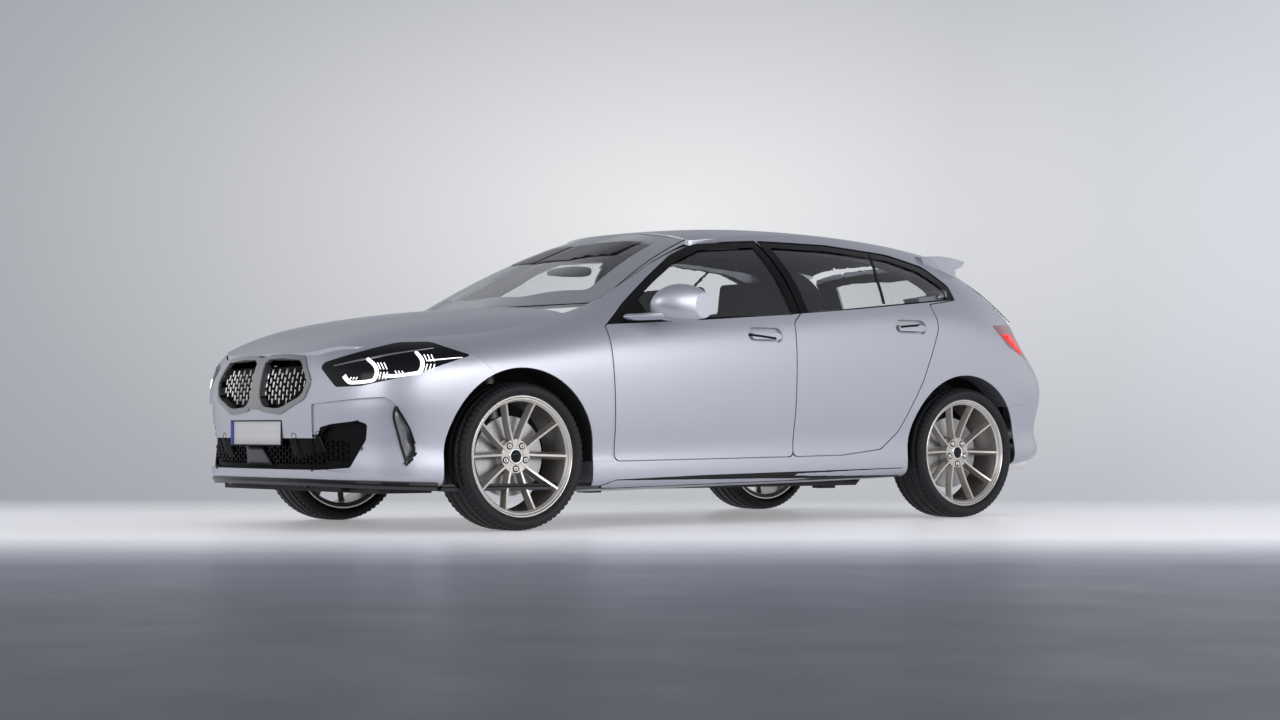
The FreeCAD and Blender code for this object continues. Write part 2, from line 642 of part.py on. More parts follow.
# Spoiler: width, then place along the car and height of four rows from front to back.
spoiler_net_shares = [
    (0, (0.7, 0.944), (0.735, 0.937), (0.77, 0.931), (0.81, 0.922)),
    (0.233, (0.7, 0.943), (0.735, 0.936), (0.77, 0.93), (0.81, 0.92)),
    (0.45, (0.7, 0.936), (0.735, 0.93), (0.77, 0.923), (0.805, 0.914)),
    (0.6, (0.695, 0.927), (0.725, 0.923), (0.755, 0.917), (0.785, 0.907)),
    (0.72, (0.69, 0.917), (0.715, 0.915), (0.74, 0.911), (0.765, 0.902)),
]
gate_start_share = 0.7
gate_lower = slab(tail_net, 0, size("tailgate_thickness"), low_rows_held).common(
    prism(front_points(gate_panel_shares), "xz", along(gate_start_share), half_length + over,
          shut))
gate_frame = slab(gate_net, screen_seat, screen_seat + size("tailgate_thickness")).cut(
    prism(plan_points(gate_window_shares), "xy", 0, 2 * height))
spoiler_net = crosswise([[at(x, y, z) for y, z in rows] for x, *rows in spoiler_net_shares])
pillar_room = slab(side_net, -size("shut_gap"), size("frame_depth") + size("shut_gap"),
                   low_rows_held)
spoiler = slab(spoiler_net, 0, size("tailgate_thickness")).common(
    prism(plan_points(spoiler_shares), "xy", 0, 2 * height))
spoiler = one_solid(spoiler.cut([pillar_room, mirrored(pillar_room)]))
tailgate = gate_lower.fuse([gate_frame, spoiler]).cut(gate_glass)
tailgate = one_solid(tailgate)
gate_room = prism(front_points(gate_panel_shares), "xz", along(gate_start_share),
                  half_length + over, -shut)

# Floor, wheel housings, firewall and rear panel.
housing_shares = {"front": 0.5, "rear": 0.66}
housing_foot_shares = {"front": 0.143, "rear": 0.17}
floor_top = size("floor_height") + size("floor_thickness")
floor_half = row_shares[0][0] * half_width - size("frame_depth") - size("seat_clearance")
# The floor seen from the side: flat to the rear seat, then up to the boot floor.
floor_shares = [(-0.9, 0), (0.36, 0), (0.46, 0.14), (0.9, 0.14)]
firewall_shares = ((0.74, -0.475, 0.12), (0, -0.46, 0.66))
rear_panel_shares = ((0.62, 0.885, 0.26), (0, 0.9, 0.42))
front_panel_shares = ((0.5, -0.915, 0.12), (0, -0.9, 0.46))
axle_slot_shares = (0.3, 0.055, 0.27)


def block(low, high):
    return Part.makeBox(high.x - low.x, high.y - low.y, high.z - low.z, low)


def across(shares):
    """A plate across the car: half width, front and foot, then rear and top."""
    (x, front, foot), (none, rear, top) = shares
    return block(at(-x, front, foot), at(x, rear, top))


def housing(axle, inner, foot):
    """Wheel housing: half a drum open towards the wheel, with its inner wall."""
    drum = arch(axle, arch_radius + size("liner_wall"), inner - size("liner_wall"), half_width)
    drum = drum.cut(arch(axle, arch_radius, inner, half_width))
    return drum.cut(block(Vector(0, axle - height, 0), Vector(far_out, axle + height, foot)))


outside = {
    "front": slab(side_net, -over, size("skin") + size("seat_clearance"), low_rows_held),
    "rear": slab(side_net, -over, size("frame_depth") + size("seat_clearance"),
                 low_rows_held),
}
floor_line = [(along(y), size("floor_height") + z * height, 0) for y, z in floor_shares]
floor_line += [(y, z + size("floor_thickness"), 0) for y, z, none in reversed(floor_line)]
underbody = prism(floor_line, "yz", -floor_half, floor_half)
underbody = underbody.fuse([across(s) for s in (firewall_shares, rear_panel_shares,
                                                front_panel_shares)])
frame_room = outside["rear"].common(left_prism(frame_shares))
for end, axle in (("front", front_axle), ("rear", rear_axle)):
    inner = housing_shares[end] * half_width
    room = arch(axle, arch_radius, inner, far_out)
    liner = housing(axle, inner, housing_foot_shares[end] * height)
    liner = liner.cut([outside[end], frame_room])
    underbody = underbody.cut([room, mirrored(room), frame_room, mirrored(frame_room)])
    underbody = underbody.fuse([liner, mirrored(liner)])
slot_in, slot_along, slot_top = axle_slot_shares
for axle in (front_axle, rear_axle):
    slot = block(Vector(slot_in * half_width, axle - slot_along * half_length, 0),
                 Vector(far_out, axle + slot_along * half_length, slot_top * height))
    underbody = underbody.cut([slot, mirrored(slot)])

# Jacking pads under the floor, one behind each front wheel and one ahead of each rear wheel.
pad_place_shares = ((0.69, -0.361), (0.69, 0.296))
for x, y in pad_place_shares:
    foot = Vector(x * half_width, along(y), size("floor_height") - size("pad_height"))
    reach = Vector(size("pad_width") / 2, size("pad_width") / 2, 0)
    pad = block(foot - reach, foot + reach + Vector(0, 0, size("pad_height")))
    underbody = underbody.fuse([pad, mirrored(pad)])
underbody = one_solid(underbody)

# Wheels: the left front wheel's profile, radius outwards and place along its axle.
hub, lip, half_rim = size("hub_radius"), size("rim_radius"), size("rim_half_width")
well, wall, rim_edge = size("rim_well_radius"), size("rim_wall"), size("rim_flange")


def turned(points):
    """A ring turned about the X axis through (radius, place) points."""
    wire = Part.makePolygon([Vector(x, 0, r) for r, x in points + points[:1]])
    return Part.Face(wire).revolve(Vector(0, 0, 0), Vector(1, 0, 0), 360)


rim_barrel = turned([
    (lip, -half_rim), (lip, -half_rim + rim_edge), (well, -half_rim + rim_edge),
    (well, half_rim - rim_edge), (lip, half_rim - rim_edge), (lip, half_rim),
    (lip - rim_edge, half_rim), (well - wall, half_rim - 2 * wall),
    (well - wall, -half_rim + wall), (lip - rim_edge, -half_rim)])
# Spokes: five pairs. Angles of their inner and outer ends from the middle of a pair, and the
# concave front from the hub to the lip as shares of the rim's radius and half width.
pair_count = 5
spoke_root_angle = 9
spoke_tip_angle = 18
spoke_face_shares = [(0, 0.46), (0.3, 0.48), (0.5, 0.55), (0.75, 0.7), (1, 0.93)]
spoke_section_shares = (0, 0.33, 0.67, 1)


def spoke_front(radius):
    """How far the spokes' front stands from the middle of the rim at a radius."""
    for (r0, x0), (r1, x1) in zip(spoke_face_shares, spoke_face_shares[1:]):
        if radius <= r1 * lip:
            return (x0 + (x1 - x0) * (radius / lip - r0) / (r1 - r0)) * half_rim
    return spoke_face_shares[-1][1] * half_rim


def spoke(root_turn, tip_turn):
    """A tapered spoke with a narrow ridge at its front, lofted from the hub to the barrel."""
    a = Vector(0, math.cos(root_turn), math.sin(root_turn)) * (hub - size("spoke_foot"))
    b = Vector(0, math.cos(tip_turn), math.sin(tip_turn)) * (well - wall / 2)
    side = (b - a).cross(Vector(1, 0, 0))
    side.normalize()
    sections = []
    for share in spoke_section_shares:
        middle = a + (b - a) * share
        front = Vector(spoke_front(middle.Length), 0, 0)
        deep = front - Vector(size("spoke_thickness"), 0, 0)
        ridge, foot = side * size("spoke_ridge") / 2, side * size("spoke_foot") / 2
        corners = [middle + front - ridge, middle + front + ridge, middle + deep + foot,
                   middle + deep - foot]
        sections.append(Part.makePolygon(corners + corners[:1]))
    return Part.makeLoft(sections, True)


spokes = []
for pair in range(pair_count):
    for side in (-1, 1):
        middle = math.radians(90 + pair * 360 / pair_count)
        spokes.append(spoke(middle + side * math.radians(spoke_root_angle),
                            middle + side * math.radians(spoke_tip_angle)))
rim = rim_barrel.fuse(spokes + [Part.makeCylinder(
    hub, size("hub_face") - size("hub_back"), Vector(size("hub_back"), 0, 0), Vector(1, 0, 0))])
bolt_radius = size("bolt_circle") / 2
holes = [Part.makeCylinder(size("hub_bore"), 2 * half_rim, Vector(-half_rim, 0, 0),
                           Vector(1, 0, 0))]
for pair in range(pair_count):
    turn = math.radians(-90 + pair * 360 / pair_count)
    holes.append(Part.makeCylinder(
        size("bolt_hole"), 2 * half_rim,
        Vector(-half_rim, bolt_radius * math.cos(turn), bolt_radius * math.sin(turn)),
        Vector(1, 0, 0)))
rim = one_solid(rim.cut(holes))

# Tyre: bead, bulged sidewall, shoulder and tread, as shares of its radius and half width.
tread, half_tyre = size("tyre_radius"), size("tyre_width") / 2
bead = half_rim - rim_edge - size("seat_clearance")
tyre_shares = [(0.84, 0.9), (0.9, 1), (0.955, 0.97), (0.985, 0.88), (1, 0.7)]
seat = well + size("seat_clearance")
outer = [(r * tread, x * half_tyre) for r, x in tyre_shares]
tyre = turned([(seat, bead), (lip + size("seat_clearance"), bead)] + outer
              + [(r, -x) for r, x in reversed(outer)]
              + [(lip + size("seat_clearance"), -bead), (seat, -bead)])

# Brake disc with its hat, seated on the wheel's mounting face.
hat, disc_back = size("disc_hat_radius"), size("disc_back")
disc_face = disc_back + size("disc_thickness")
mount_face = size("hub_back") - size("seat_clearance")
disc = turned([
    (size("hub_bore"), mount_face), (hat, mount_face), (hat, disc_face),
    (size("disc_radius"), disc_face), (size("disc_radius"), disc_back),
    (hat - wall, disc_back), (hat - wall, mount_face - wall),
    (size("hub_bore"), mount_face - wall)])


# Front knuckle: hub carrier, caliper, ball joint lug and strut, all on the steering axis.
steer_lean_share = 0.22
carrier_radius = hat - 2 * wall
carrier_back = wall - half_rim
lug_radius_share = 0.13
lug_drop_share = 0.52
strut_top_share = 0.48
spindle = size("hub_bore") - size("shaft_clearance")
caliper_shares = (0.58, 1.05)
caliper_angle = 60
caliper_turn = 12
pad_gap = size("seat_clearance")
pad_wall = size("disc_thickness")
caliper_wall = size("disc_thickness") + wall


def steer_point(z):
    """The steering axis at a height above the axle."""
    return Vector(-size("steer_foot") - steer_lean_share * z, 0, z)


def rod(start, end, radius):
    return Part.makeCylinder(radius, (end - start).Length, start, end - start)


def carrier_at(turn):
    """Hub carrier with spindle and caliper; the caliper turned about the axle."""
    body = Part.makeCylinder(carrier_radius, mount_face - 2 * wall - carrier_back,
                             Vector(carrier_back, 0, 0), Vector(1, 0, 0))
    pin = Part.makeCylinder(spindle, size("hub_face") - wall - carrier_back,
                            Vector(carrier_back, 0, 0), Vector(1, 0, 0))
    low, high = (share * size("disc_radius") for share in caliper_shares)
    profile = [Vector(disc_back - caliper_wall, low, 0), Vector(disc_face + pad_wall, low, 0),
               Vector(disc_face + pad_wall, high, 0), Vector(disc_back - caliper_wall, high, 0)]
    grip = Part.Face(Part.makePolygon(profile + profile[:1])).revolve(
        Vector(0, 0, 0), Vector(1, 0, 0), caliper_angle)
    gap = turned([(0, disc_back - pad_gap), (size("disc_radius") + wall, disc_back - pad_gap),
                  (size("disc_radius") + wall, disc_face + pad_gap),
                  (0, disc_face + pad_gap)])
    grip = grip.cut(gap)
    grip.rotate(Vector(0, 0, 0), Vector(1, 0, 0), turn - caliper_angle / 2)
    arm = block(Vector(carrier_back, 0, -carrier_radius / 2),
                Vector(disc_back - size("disc_thickness") / 2, (low + high) / 2,
                       carrier_radius / 2))
    arm.rotate(Vector(0, 0, 0), Vector(1, 0, 0), turn)
    return body.fuse([pin, arm, grip])


lug_radius = lug_radius_share * size("disc_radius")
lug_foot = steer_point(-lug_drop_share * well)
strut_top = steer_point(strut_top_share * height - tread)
strut_foot = steer_point(0)
carrier = carrier_at(caliper_turn)
knuckle = carrier.fuse([rod(lug_foot, strut_foot, lug_radius),
                        rod(strut_foot, strut_top, lug_radius)])
knuckle = one_solid(knuckle)

# Front axle: cross member and two lower arms out to the ball joints.
member_x, member_y, member_z = 0.36, 0.05, 0.035
ball = lug_foot + Vector(tyre_middle, front_axle, tread)
lean = Vector(-steer_lean_share, 0, 1)
lean.normalize()
ball_top = ball - lean * size("seat_clearance")
ball_seat = rod(ball_top - lean * (lug_radius + lug_radius / 2), ball_top, lug_radius)
member_low = floor_top + size("seat_clearance")
member = block(Vector(-member_x * half_width, front_axle - member_y * half_length, member_low),
               Vector(member_x * half_width, front_axle + member_y * half_length,
                      member_low + member_z * height))
arm_foot = Vector(member_x * half_width, front_axle, member_low + lug_radius)
arm_end = ball_top - lean * lug_radius
arms = [rod(arm_foot - Vector(0, y, 0), arm_end, lug_radius / 2)
        for y in (-member_y * half_length + lug_radius, member_y * half_length - lug_radius)]
half_axle = ball_seat.fuse(arms)
front_axle_beam = one_solid(member.fuse([half_axle, mirrored(half_axle)]))

# Rear axle: hub carriers on a cross beam.
beam_radius = size("beam_radius")
rear_hub = Vector(tyre_middle, rear_axle, tread)
carrier = carrier_at(180 - caliper_turn)
carrier.translate(rear_hub)
beam_end = rear_hub + Vector(carrier_back, 0, 0)
inboard = Vector(floor_half - beam_radius * 2, rear_axle, tread)
half_rear = carrier.fuse([rod(inboard, beam_end + Vector(wall, 0, 0), beam_radius)])
cross = rod(Vector(-inboard.x, rear_axle, tread), inboard, beam_radius)
rear_axle_beam = one_solid(cross.fuse([half_rear, mirrored(half_rear)]))

# Seats: side outlines pulled to their width, in shares like the side outlines.
front_seat_shares = [
    (-0.11, 0.2, 0.01), (-0.125, 0.29, 0.03), (-0.1, 0.335, 0.03), (0.055, 0.305, 0.03),
    (0.075, 0.33, 0.02), (0.15, 0.66, 0.03), (0.168, 0.7, 0.005), (0.176, 0.72, 0.005),
    (0.184, 0.815, 0.02), (0.218, 0.815, 0.02), (0.224, 0.72, 0.005), (0.212, 0.7, 0.005),
    (0.2, 0.62, 0.03), (0.14, 0.28, 0.02), (0.12, 0.2, 0.01),
]
rear_seat_shares = [
    (0.31, 0.2, 0.01), (0.3, 0.31, 0.02), (0.32, 0.345, 0.03), (0.48, 0.31, 0.02),
    (0.5, 0.33, 0.02), (0.565, 0.66, 0.02), (0.575, 0.72, 0.02), (0.6, 0.72, 0.02),
    (0.6, 0.66, 0.02), (0.53, 0.3, 0.02), (0.44, 0.26, 0), (0.36, 0.2, 0),
]
dashboard_shares = [
    (-0.455, 0.48, 0), (-0.455, 0.64, 0.01), (-0.41, 0.68, 0.02), (-0.31, 0.665, 0.03),
    (-0.275, 0.62, 0.03), (-0.29, 0.54, 0.03), (-0.33, 0.48, 0.02),
]
seat_place_share = 0.41
seat_foot = floor_top + size("seat_clearance")
bench_share = 0.64
dash_share = 0.78
half_seat = size("seat_width") / 2
seat_middle = seat_place_share * half_width


def seated(shares):
    points = side_points(shares)
    low = min(z for y, z, r in points)
    return [(y, seat_foot if z == low else z, r) for y, z, r in points]


front_seat = prism(seated(front_seat_shares), "yz", seat_middle - half_seat,
                   seat_middle + half_seat)
rear_seat = prism(seated(rear_seat_shares), "yz", -bench_share * half_width,
                  bench_share * half_width)
under_floor = [(along(y), seat_foot + z * height, 0) for y, z in floor_shares]
under_floor += [(half_length, 0, 0), (-half_length, 0, 0)]
rear_seat = one_solid(rear_seat.cut(prism(under_floor, "yz", -half_width, half_width)))
dashboard = prism(side_points(dashboard_shares), "yz", -dash_share * half_width,
                  dash_share * half_width)
wheel_shares = (-0.2, 0.62)
hand_wheel_share = 0.128
hand_rim_share = 0.011
hand_middle = Vector(seat_middle, along(wheel_shares[0]), wheel_shares[1] * height)
column_lean = math.radians(25)
column_share = 0.15
column = Vector(0, -math.cos(column_lean), -math.sin(column_lean))
hand_wheel = Part.makeTorus(hand_wheel_share * height, hand_rim_share * height, hand_middle,
                            -column)
column_end = hand_middle + column * (column_share * height)
dashboard = dashboard.fuse([
    hand_wheel, rod(hand_middle, column_end, hand_rim_share * 3 * height),
    rod(hand_middle - Vector(hand_wheel_share * height, 0, 0),
        hand_middle + Vector(hand_wheel_share * height, 0, 0), hand_rim_share * height)])
dashboard = one_solid(dashboard.cut([outside["rear"], mirrored(outside["rear"])]))

# Lamps, grille and lower intake. Outlines on the nose's corner are seen along the diagonal:
# how far round from the middle of the nose, height, corner radius.
headlamp_shares = [
    (0.424, 0.495, 0.01), (0.52, 0.434, 0.02), (0.656, 0.437, 0.05), (0.903, 0.469, 0.1),
    (1.141, 0.531, 0.004), (0.942, 0.572, 0.1), (0.8, 0.569, 0.1), (0.447, 0.51, 0.02),
]
grille_shares = [
    (0.017, 0.52, 0.01), (0.017, 0.402, 0.02), (0.07, 0.363, 0.02), (0.25, 0.352, 0.05),
    (0.45, 0.4, 0.03), (0.49, 0.454, 0.03), (0.385, 0.532, 0.03), (0.197, 0.54, 0.05),
    (0.065, 0.538, 0.02),
]
intake_shares = [
    (0.52, 0.282, 0.01), (0.54, 0.315, 0.01), (0.6, 0.324, 0.02), (0.735, 0.334, 0.02),
    (0.775, 0.325, 0.01), (0.762, 0.277, 0.02), (0.695, 0.194, 0.01), (0.54, 0.187, 0.01),
    (-0.54, 0.187, 0.01), (-0.695, 0.194, 0.01), (-0.762, 0.277, 0.02), (-0.775, 0.325, 0.01),
    (-0.735, 0.334, 0.02), (-0.6, 0.324, 0.02), (-0.54, 0.315, 0.01), (-0.52, 0.282, 0.01),
]
tail_lamp_shares = [
    (0.737, 0.676, 0.005), (0.84, 0.683, 0.01), (1.1, 0.67, 0.005), (1.1, 0.55, 0.005),
    (0.862, 0.556, 0.01), (0.785, 0.6, 0.03),
]
# Air channel at the corner of the bumper, seen along the diagonal, and its depth as a share of
# its deepest place for each column of the nose net from the middle outwards.
recess_shares = [
    (0.381, 0.384, 0.005), (0.6, 0.398, 0.02), (0.769, 0.405, 0.03), (0.816, 0.388, 0.03),
    (0.867, 0.323, 0.05), (0.908, 0.253, 0.03), (0.902, 0.223, 0.03), (0.858, 0.206, 0.02),
    (0.723, 0.191, 0.02), (0.568, 0.178, 0.02), (0.455, 0.188, 0.01), (0.384, 0.286, 0.02),
]
recess_column_shares = [0, 0.05, 0.4, 0.95, 1, 1, 1, 1, 1, 1, 1, 1]


def diagonal_prism(shares, inset=0, depth=None):
    """The outline pulled into the left front corner along the diagonal."""
    shape = prism([(x * half_width, z * height, r * height) for x, z, r in shares], "xz",
                  -half_width, half_width * diagonal_reach_share, inset)
    shape.rotate(Vector(0, 0, 0), Vector(0, 0, 1), 45)
    shape.translate(Vector(0, -half_length, 0))
    return shape


diagonal_reach_share = 0.9
lamp_block = slab(nose_net, 0, size("lamp_depth"), low_rows_held)
headlamp = lamp_block.common(diagonal_prism(headlamp_shares, size("panel_gap")))
headlamp = one_solid(headlamp.cut([bonnet_room]))
lamp_room = diagonal_prism(headlamp_shares)
recess_floor = [share * size("recess_depth") for share in recess_column_shares]
recess_floor = recess_floor[:0:-1] + recess_floor
recess_back = [depth + size("skin") for depth in recess_floor]
recess = diagonal_prism(recess_shares)
recess_wall = diagonal_prism(recess_shares, -size("skin")).cut(recess)
channel = slab(nose_net, recess_floor, recess_back, low_rows_held).common(recess)
channel = channel.fuse(slab(nose_net, 0, recess_back, low_rows_held).common(recess_wall))
front_bumper = front_bumper.cut([recess, mirrored(recess)])
front_bumper = one_solid(front_bumper.fuse([channel, mirrored(channel)]))
front_bumper = front_bumper.cut([lamp_room, mirrored(lamp_room)])
fender = one_solid(fender.cut(lamp_room))

grille_front = size("grille_depth") - size("grille_sheet")
grille_rim = slab(nose_net, -size("trim_step"), size("grille_depth"), low_rows_held)
grille_sheet = slab(nose_net, grille_front, size("grille_depth"), low_rows_held)
grille_opening = prism(front_points(grille_shares), "xz", -half_length - over, -half_length / 2)
grille_frame_share = 0.022
grille_hole = prism(front_points(grille_shares), "xz", -half_length - over, -half_length / 2,
                    grille_frame_share * half_width)
grille_openings = grille_opening.fuse(mirrored(grille_opening))
bridge_shares = ((0.05, -1.1, 0.37), (0, -0.5, 0.53))
bridge = across(bridge_shares)
frame_part = grille_rim.common(grille_openings.fuse(bridge)).cut([grille_hole, mirrored(grille_hole)])
grille = frame_part.fuse(grille_sheet.common(grille_openings))
grille = one_solid(grille.cut(bonnet_room))
front_bumper = front_bumper.cut([grille_openings, bridge])

intake_reach_share = 0.8
intake = prism(front_points(intake_shares), "xz", -half_length - over,
               -half_length * intake_reach_share)
intake_seat = prism(front_points(intake_shares), "xz", -half_length - over,
                    -half_length * intake_reach_share, size("seat_clearance"))
intake_inside = prism(front_points(intake_shares), "xz", -half_length - over,
                      -half_length * intake_reach_share, size("trim_step"))
intake_front = [depth + size("skin") / 2 for depth in recess_floor]
intake_rim = slab(nose_net, intake_front, size("grille_depth"), low_rows_held)
intake_rim = intake_rim.common(intake_seat.cut(intake_inside))
lower_grille = one_solid(grille_sheet.common(intake_seat).fuse(intake_rim))
front_bumper = one_solid(front_bumper.cut(intake))

lamp_side = prism(side_points(tail_lamp_shares), "yz", 0, far_out)
lamp_room_rear = prism(side_points(tail_lamp_shares), "yz", 0, far_out, -size("panel_gap"))
tail_block = slab(tail_net, 0, size("lamp_depth"), low_rows_held)
tail_lamp = one_solid(tail_block.common(lamp_side).cut(gate_room))
rear_bumper = one_solid(rear_bumper.cut([lamp_room_rear, mirrored(lamp_room_rear), gate_room]))
side_frame = one_solid(side_frame.cut(lamp_room_rear.cut(gate_room)).cut(gate_room))

# Door mirrors: a head of elliptic sections on a flat arm from the door's front corner.
# Each section: width, length, height of its centre, then its half length and half height.
mirror_head_shares = [
    (0.975, -0.262, 0.687, 0.026, 0.026), (1.03, -0.252, 0.706, 0.042, 0.055),
    (1.1, -0.226, 0.708, 0.04, 0.057), (1.145, -0.2, 0.7, 0.022, 0.04),
]
mirror_arm_shares = [
    (0.93, -0.322, 0.663, 0.022, 0.011), (0.975, -0.3, 0.664, 0.032, 0.011),
    (1.05, -0.245, 0.672, 0.036, 0.014),
]


def section(x, y, z, length, rise):
    """An ellipse across the X axis."""
    along_y, along_z = length * half_length, rise * height
    ellipse = Part.Ellipse(Vector(0, 0, 0), max(along_y, along_z), min(along_y, along_z))
    wire = Part.Wire(ellipse.toShape())
    if along_y < along_z:
        wire.rotate(Vector(0, 0, 0), Vector(0, 0, 1), 90)
    wire.transformShape(FreeCAD.Matrix(0, 0, 1, 0, 1, 0, 0, 0, 0, 1, 0, 0, 0, 0, 0, 1))
    wire.translate(at(x, y, z))
    return wire


mirror_head = Part.makeLoft([section(*s) for s in mirror_head_shares], True)
mirror_arm = Part.makeLoft([section(*s) for s in mirror_arm_shares], True)
mirror = one_solid(mirror_head.fuse(mirror_arm).cut(
    slab(side_net, -size("seat_clearance"), size("door_depth"), low_rows_held)))

# Exhaust: two tail pipes through the rear bumper, from a silencer hung under the boot floor.
pipe_x_share, pipe_z_share = 0.59, 0.185
pipe_y_shares = (0.8, 0.97)
silencer_x_share = 0.4
hanger_share = 0.3
pipe = size("exhaust_radius")
silencer_radius = pipe + pipe / 2


def pipe_at(x, y):
    return at(x, y, pipe_z_share)


silencer = rod(pipe_at(-silencer_x_share, pipe_y_shares[0]),
               pipe_at(silencer_x_share, pipe_y_shares[0]), silencer_radius)
start, end = pipe_at(pipe_x_share, pipe_y_shares[0]), pipe_at(pipe_x_share, pipe_y_shares[1])
tail_pipe = rod(start, end, pipe).fuse(rod(pipe_at(0, pipe_y_shares[0]), start, pipe / 2))
tail_pipe = tail_pipe.cut(rod((start + end) / 2, end + Vector(0, over, 0), pipe - wall / 2))
hanger_foot = pipe_at(hanger_share, pipe_y_shares[0])
boot_floor = size("floor_height") + floor_shares[-1][1] * height
hanger = rod(hanger_foot, Vector(hanger_foot.x, hanger_foot.y,
                                 boot_floor - size("seat_clearance")), pipe / 4)
exhaust = one_solid(silencer.fuse([tail_pipe, mirrored(tail_pipe), hanger, mirrored(hanger)]))
pipe_room = rod(start, end + Vector(0, over, 0), pipe + size("trim_step"))
rear_bumper = one_solid(rear_bumper.cut([pipe_room, mirrored(pipe_room)]))

engine_share = -0.72
engine_foot = member_low + member_z * height + size("seat_clearance")
engine = block(Vector(-size("engine_length") / 2, along(engine_share) - size("engine_width") / 2,
                      engine_foot),
               Vector(size("engine_length") / 2, along(engine_share) + size("engine_width") / 2,
                      engine_foot + size("engine_height")))

for label, shape in (("door_front", front_door), ("door_rear", rear_door),
                     ("side_frame", side_frame), ("fender", fender),
                     ("glass_front", pane(front_glass_shares)),
                     ("glass_rear", pane(rear_glass_shares)),
                     ("front_seat", front_seat), ("headlamp", headlamp),
                     ("tail_lamp", tail_lamp), ("mirror", mirror)):
    feature(label + "_left", shape)
    feature(label + "_right", mirrored(shape))
for end, axle in (("front", front_axle), ("rear", rear_axle)):
    for label, shape in (("wheel", rim), ("tyre", tyre), ("brake_disc", disc)):
        feature("%s_%s_left" % (label, end), shape, Vector(tyre_middle, axle, tread))
        feature("%s_%s_right" % (label, end), mirrored(shape),
                Vector(-tyre_middle, axle, tread))
feature("knuckle_left", knuckle, Vector(tyre_middle, front_axle, tread))
feature("knuckle_right", mirrored(knuckle), Vector(-tyre_middle, front_axle, tread))
for label, shape in (("bonnet", bonnet), ("roof_panel", roof), ("front_bumper", front_bumper),
                     ("rear_bumper", rear_bumper), ("windscreen", windscreen),
                     ("windscreen_frame", screen_frame), ("tailgate", tailgate),
                     ("tailgate_glass", gate_glass), ("underbody", underbody),
                     ("front_axle", front_axle_beam), ("rear_axle", rear_axle_beam),
                     ("rear_seat", rear_seat), ("dashboard", dashboard),
                     ("engine_block", engine), ("grille", grille),
                     ("lower_grille", lower_grille), ("exhaust", exhaust)):
    feature(label, shape)

doc.recompute()
faulty = [item.Label for item in doc.Objects
          if {"Invalid", "Error"} & set(item.State)]
faulty += [item.Label for item in nodes if item.Shape.isNull() or not item.Shape.isValid()]
if faulty:
    raise RuntimeError("not built: " + ", ".join(faulty))
os.makedirs("parts", exist_ok=True)
for item in nodes:
    item.Shape.exportStep("parts/%s.step" % item.Label)
    box = item.Shape.BoundBox
    print("%-24s %8.0f cm3  x %5.0f %5.0f  y %5.0f %5.0f  z %5.0f %5.0f" % (
        item.Label, item.Shape.Volume / 1000, box.XMin, box.XMax, box.YMin, box.YMax, box.ZMin,
        box.ZMax))
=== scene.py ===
import json
import math

import bmesh
import bpy
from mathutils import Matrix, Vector
from mathutils.bvhtree import BVHTree

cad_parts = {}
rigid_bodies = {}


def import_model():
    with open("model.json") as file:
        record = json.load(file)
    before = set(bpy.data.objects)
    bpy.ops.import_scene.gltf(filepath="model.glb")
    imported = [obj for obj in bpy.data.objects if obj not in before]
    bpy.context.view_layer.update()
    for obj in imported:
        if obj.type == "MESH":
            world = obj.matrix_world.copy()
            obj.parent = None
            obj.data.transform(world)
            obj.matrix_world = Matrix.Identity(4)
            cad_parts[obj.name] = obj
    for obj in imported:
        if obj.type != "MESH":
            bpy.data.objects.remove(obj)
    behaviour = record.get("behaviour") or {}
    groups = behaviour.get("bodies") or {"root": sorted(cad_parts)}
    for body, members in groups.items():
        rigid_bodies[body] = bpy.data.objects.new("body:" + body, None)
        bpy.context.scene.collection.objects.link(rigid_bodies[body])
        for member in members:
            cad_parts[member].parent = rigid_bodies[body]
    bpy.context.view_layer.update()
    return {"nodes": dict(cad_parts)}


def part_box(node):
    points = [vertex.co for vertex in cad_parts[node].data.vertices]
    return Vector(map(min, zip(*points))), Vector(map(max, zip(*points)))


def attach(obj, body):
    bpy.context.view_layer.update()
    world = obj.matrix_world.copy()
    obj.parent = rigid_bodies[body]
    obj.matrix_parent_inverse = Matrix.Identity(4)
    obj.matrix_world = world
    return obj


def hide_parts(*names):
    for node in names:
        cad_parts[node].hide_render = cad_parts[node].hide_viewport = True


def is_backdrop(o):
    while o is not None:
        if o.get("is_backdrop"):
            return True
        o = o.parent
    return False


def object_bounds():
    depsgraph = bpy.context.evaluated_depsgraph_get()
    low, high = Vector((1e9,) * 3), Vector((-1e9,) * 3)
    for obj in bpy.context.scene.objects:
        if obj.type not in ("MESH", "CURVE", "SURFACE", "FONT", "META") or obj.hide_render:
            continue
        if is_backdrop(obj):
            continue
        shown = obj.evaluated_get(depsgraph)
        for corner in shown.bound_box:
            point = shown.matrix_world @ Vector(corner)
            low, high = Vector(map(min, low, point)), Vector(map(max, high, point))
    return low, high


# Hatchback car, in metres. +Z is up, the car faces -Y and its left side is +X.

for item in list(bpy.data.objects):
    bpy.data.objects.remove(item)
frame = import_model()
nodes = frame["nodes"]

SIDES = (("left", 1), ("right", -1))
ENDS = ("front", "rear")

# Places worked out from the frame; the wheels are the left side's
TYRE_LOW, TYRE_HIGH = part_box("tyre_front_left")
TYRE_RADIUS = (TYRE_HIGH.z - TYRE_LOW.z) / 2
TYRE_HALF = (TYRE_HIGH.x - TYRE_LOW.x) / 2
RIM_LOW, RIM_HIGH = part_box("wheel_front_left")
RIM_FACE = RIM_HIGH.x
RIM_RADIUS = (RIM_HIGH.z - RIM_LOW.z) / 2
AXLES = {}
for end in ENDS:
    low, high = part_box("tyre_%s_left" % end)
    AXLES[end] = (low + high) / 2
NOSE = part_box("front_bumper")[0].y

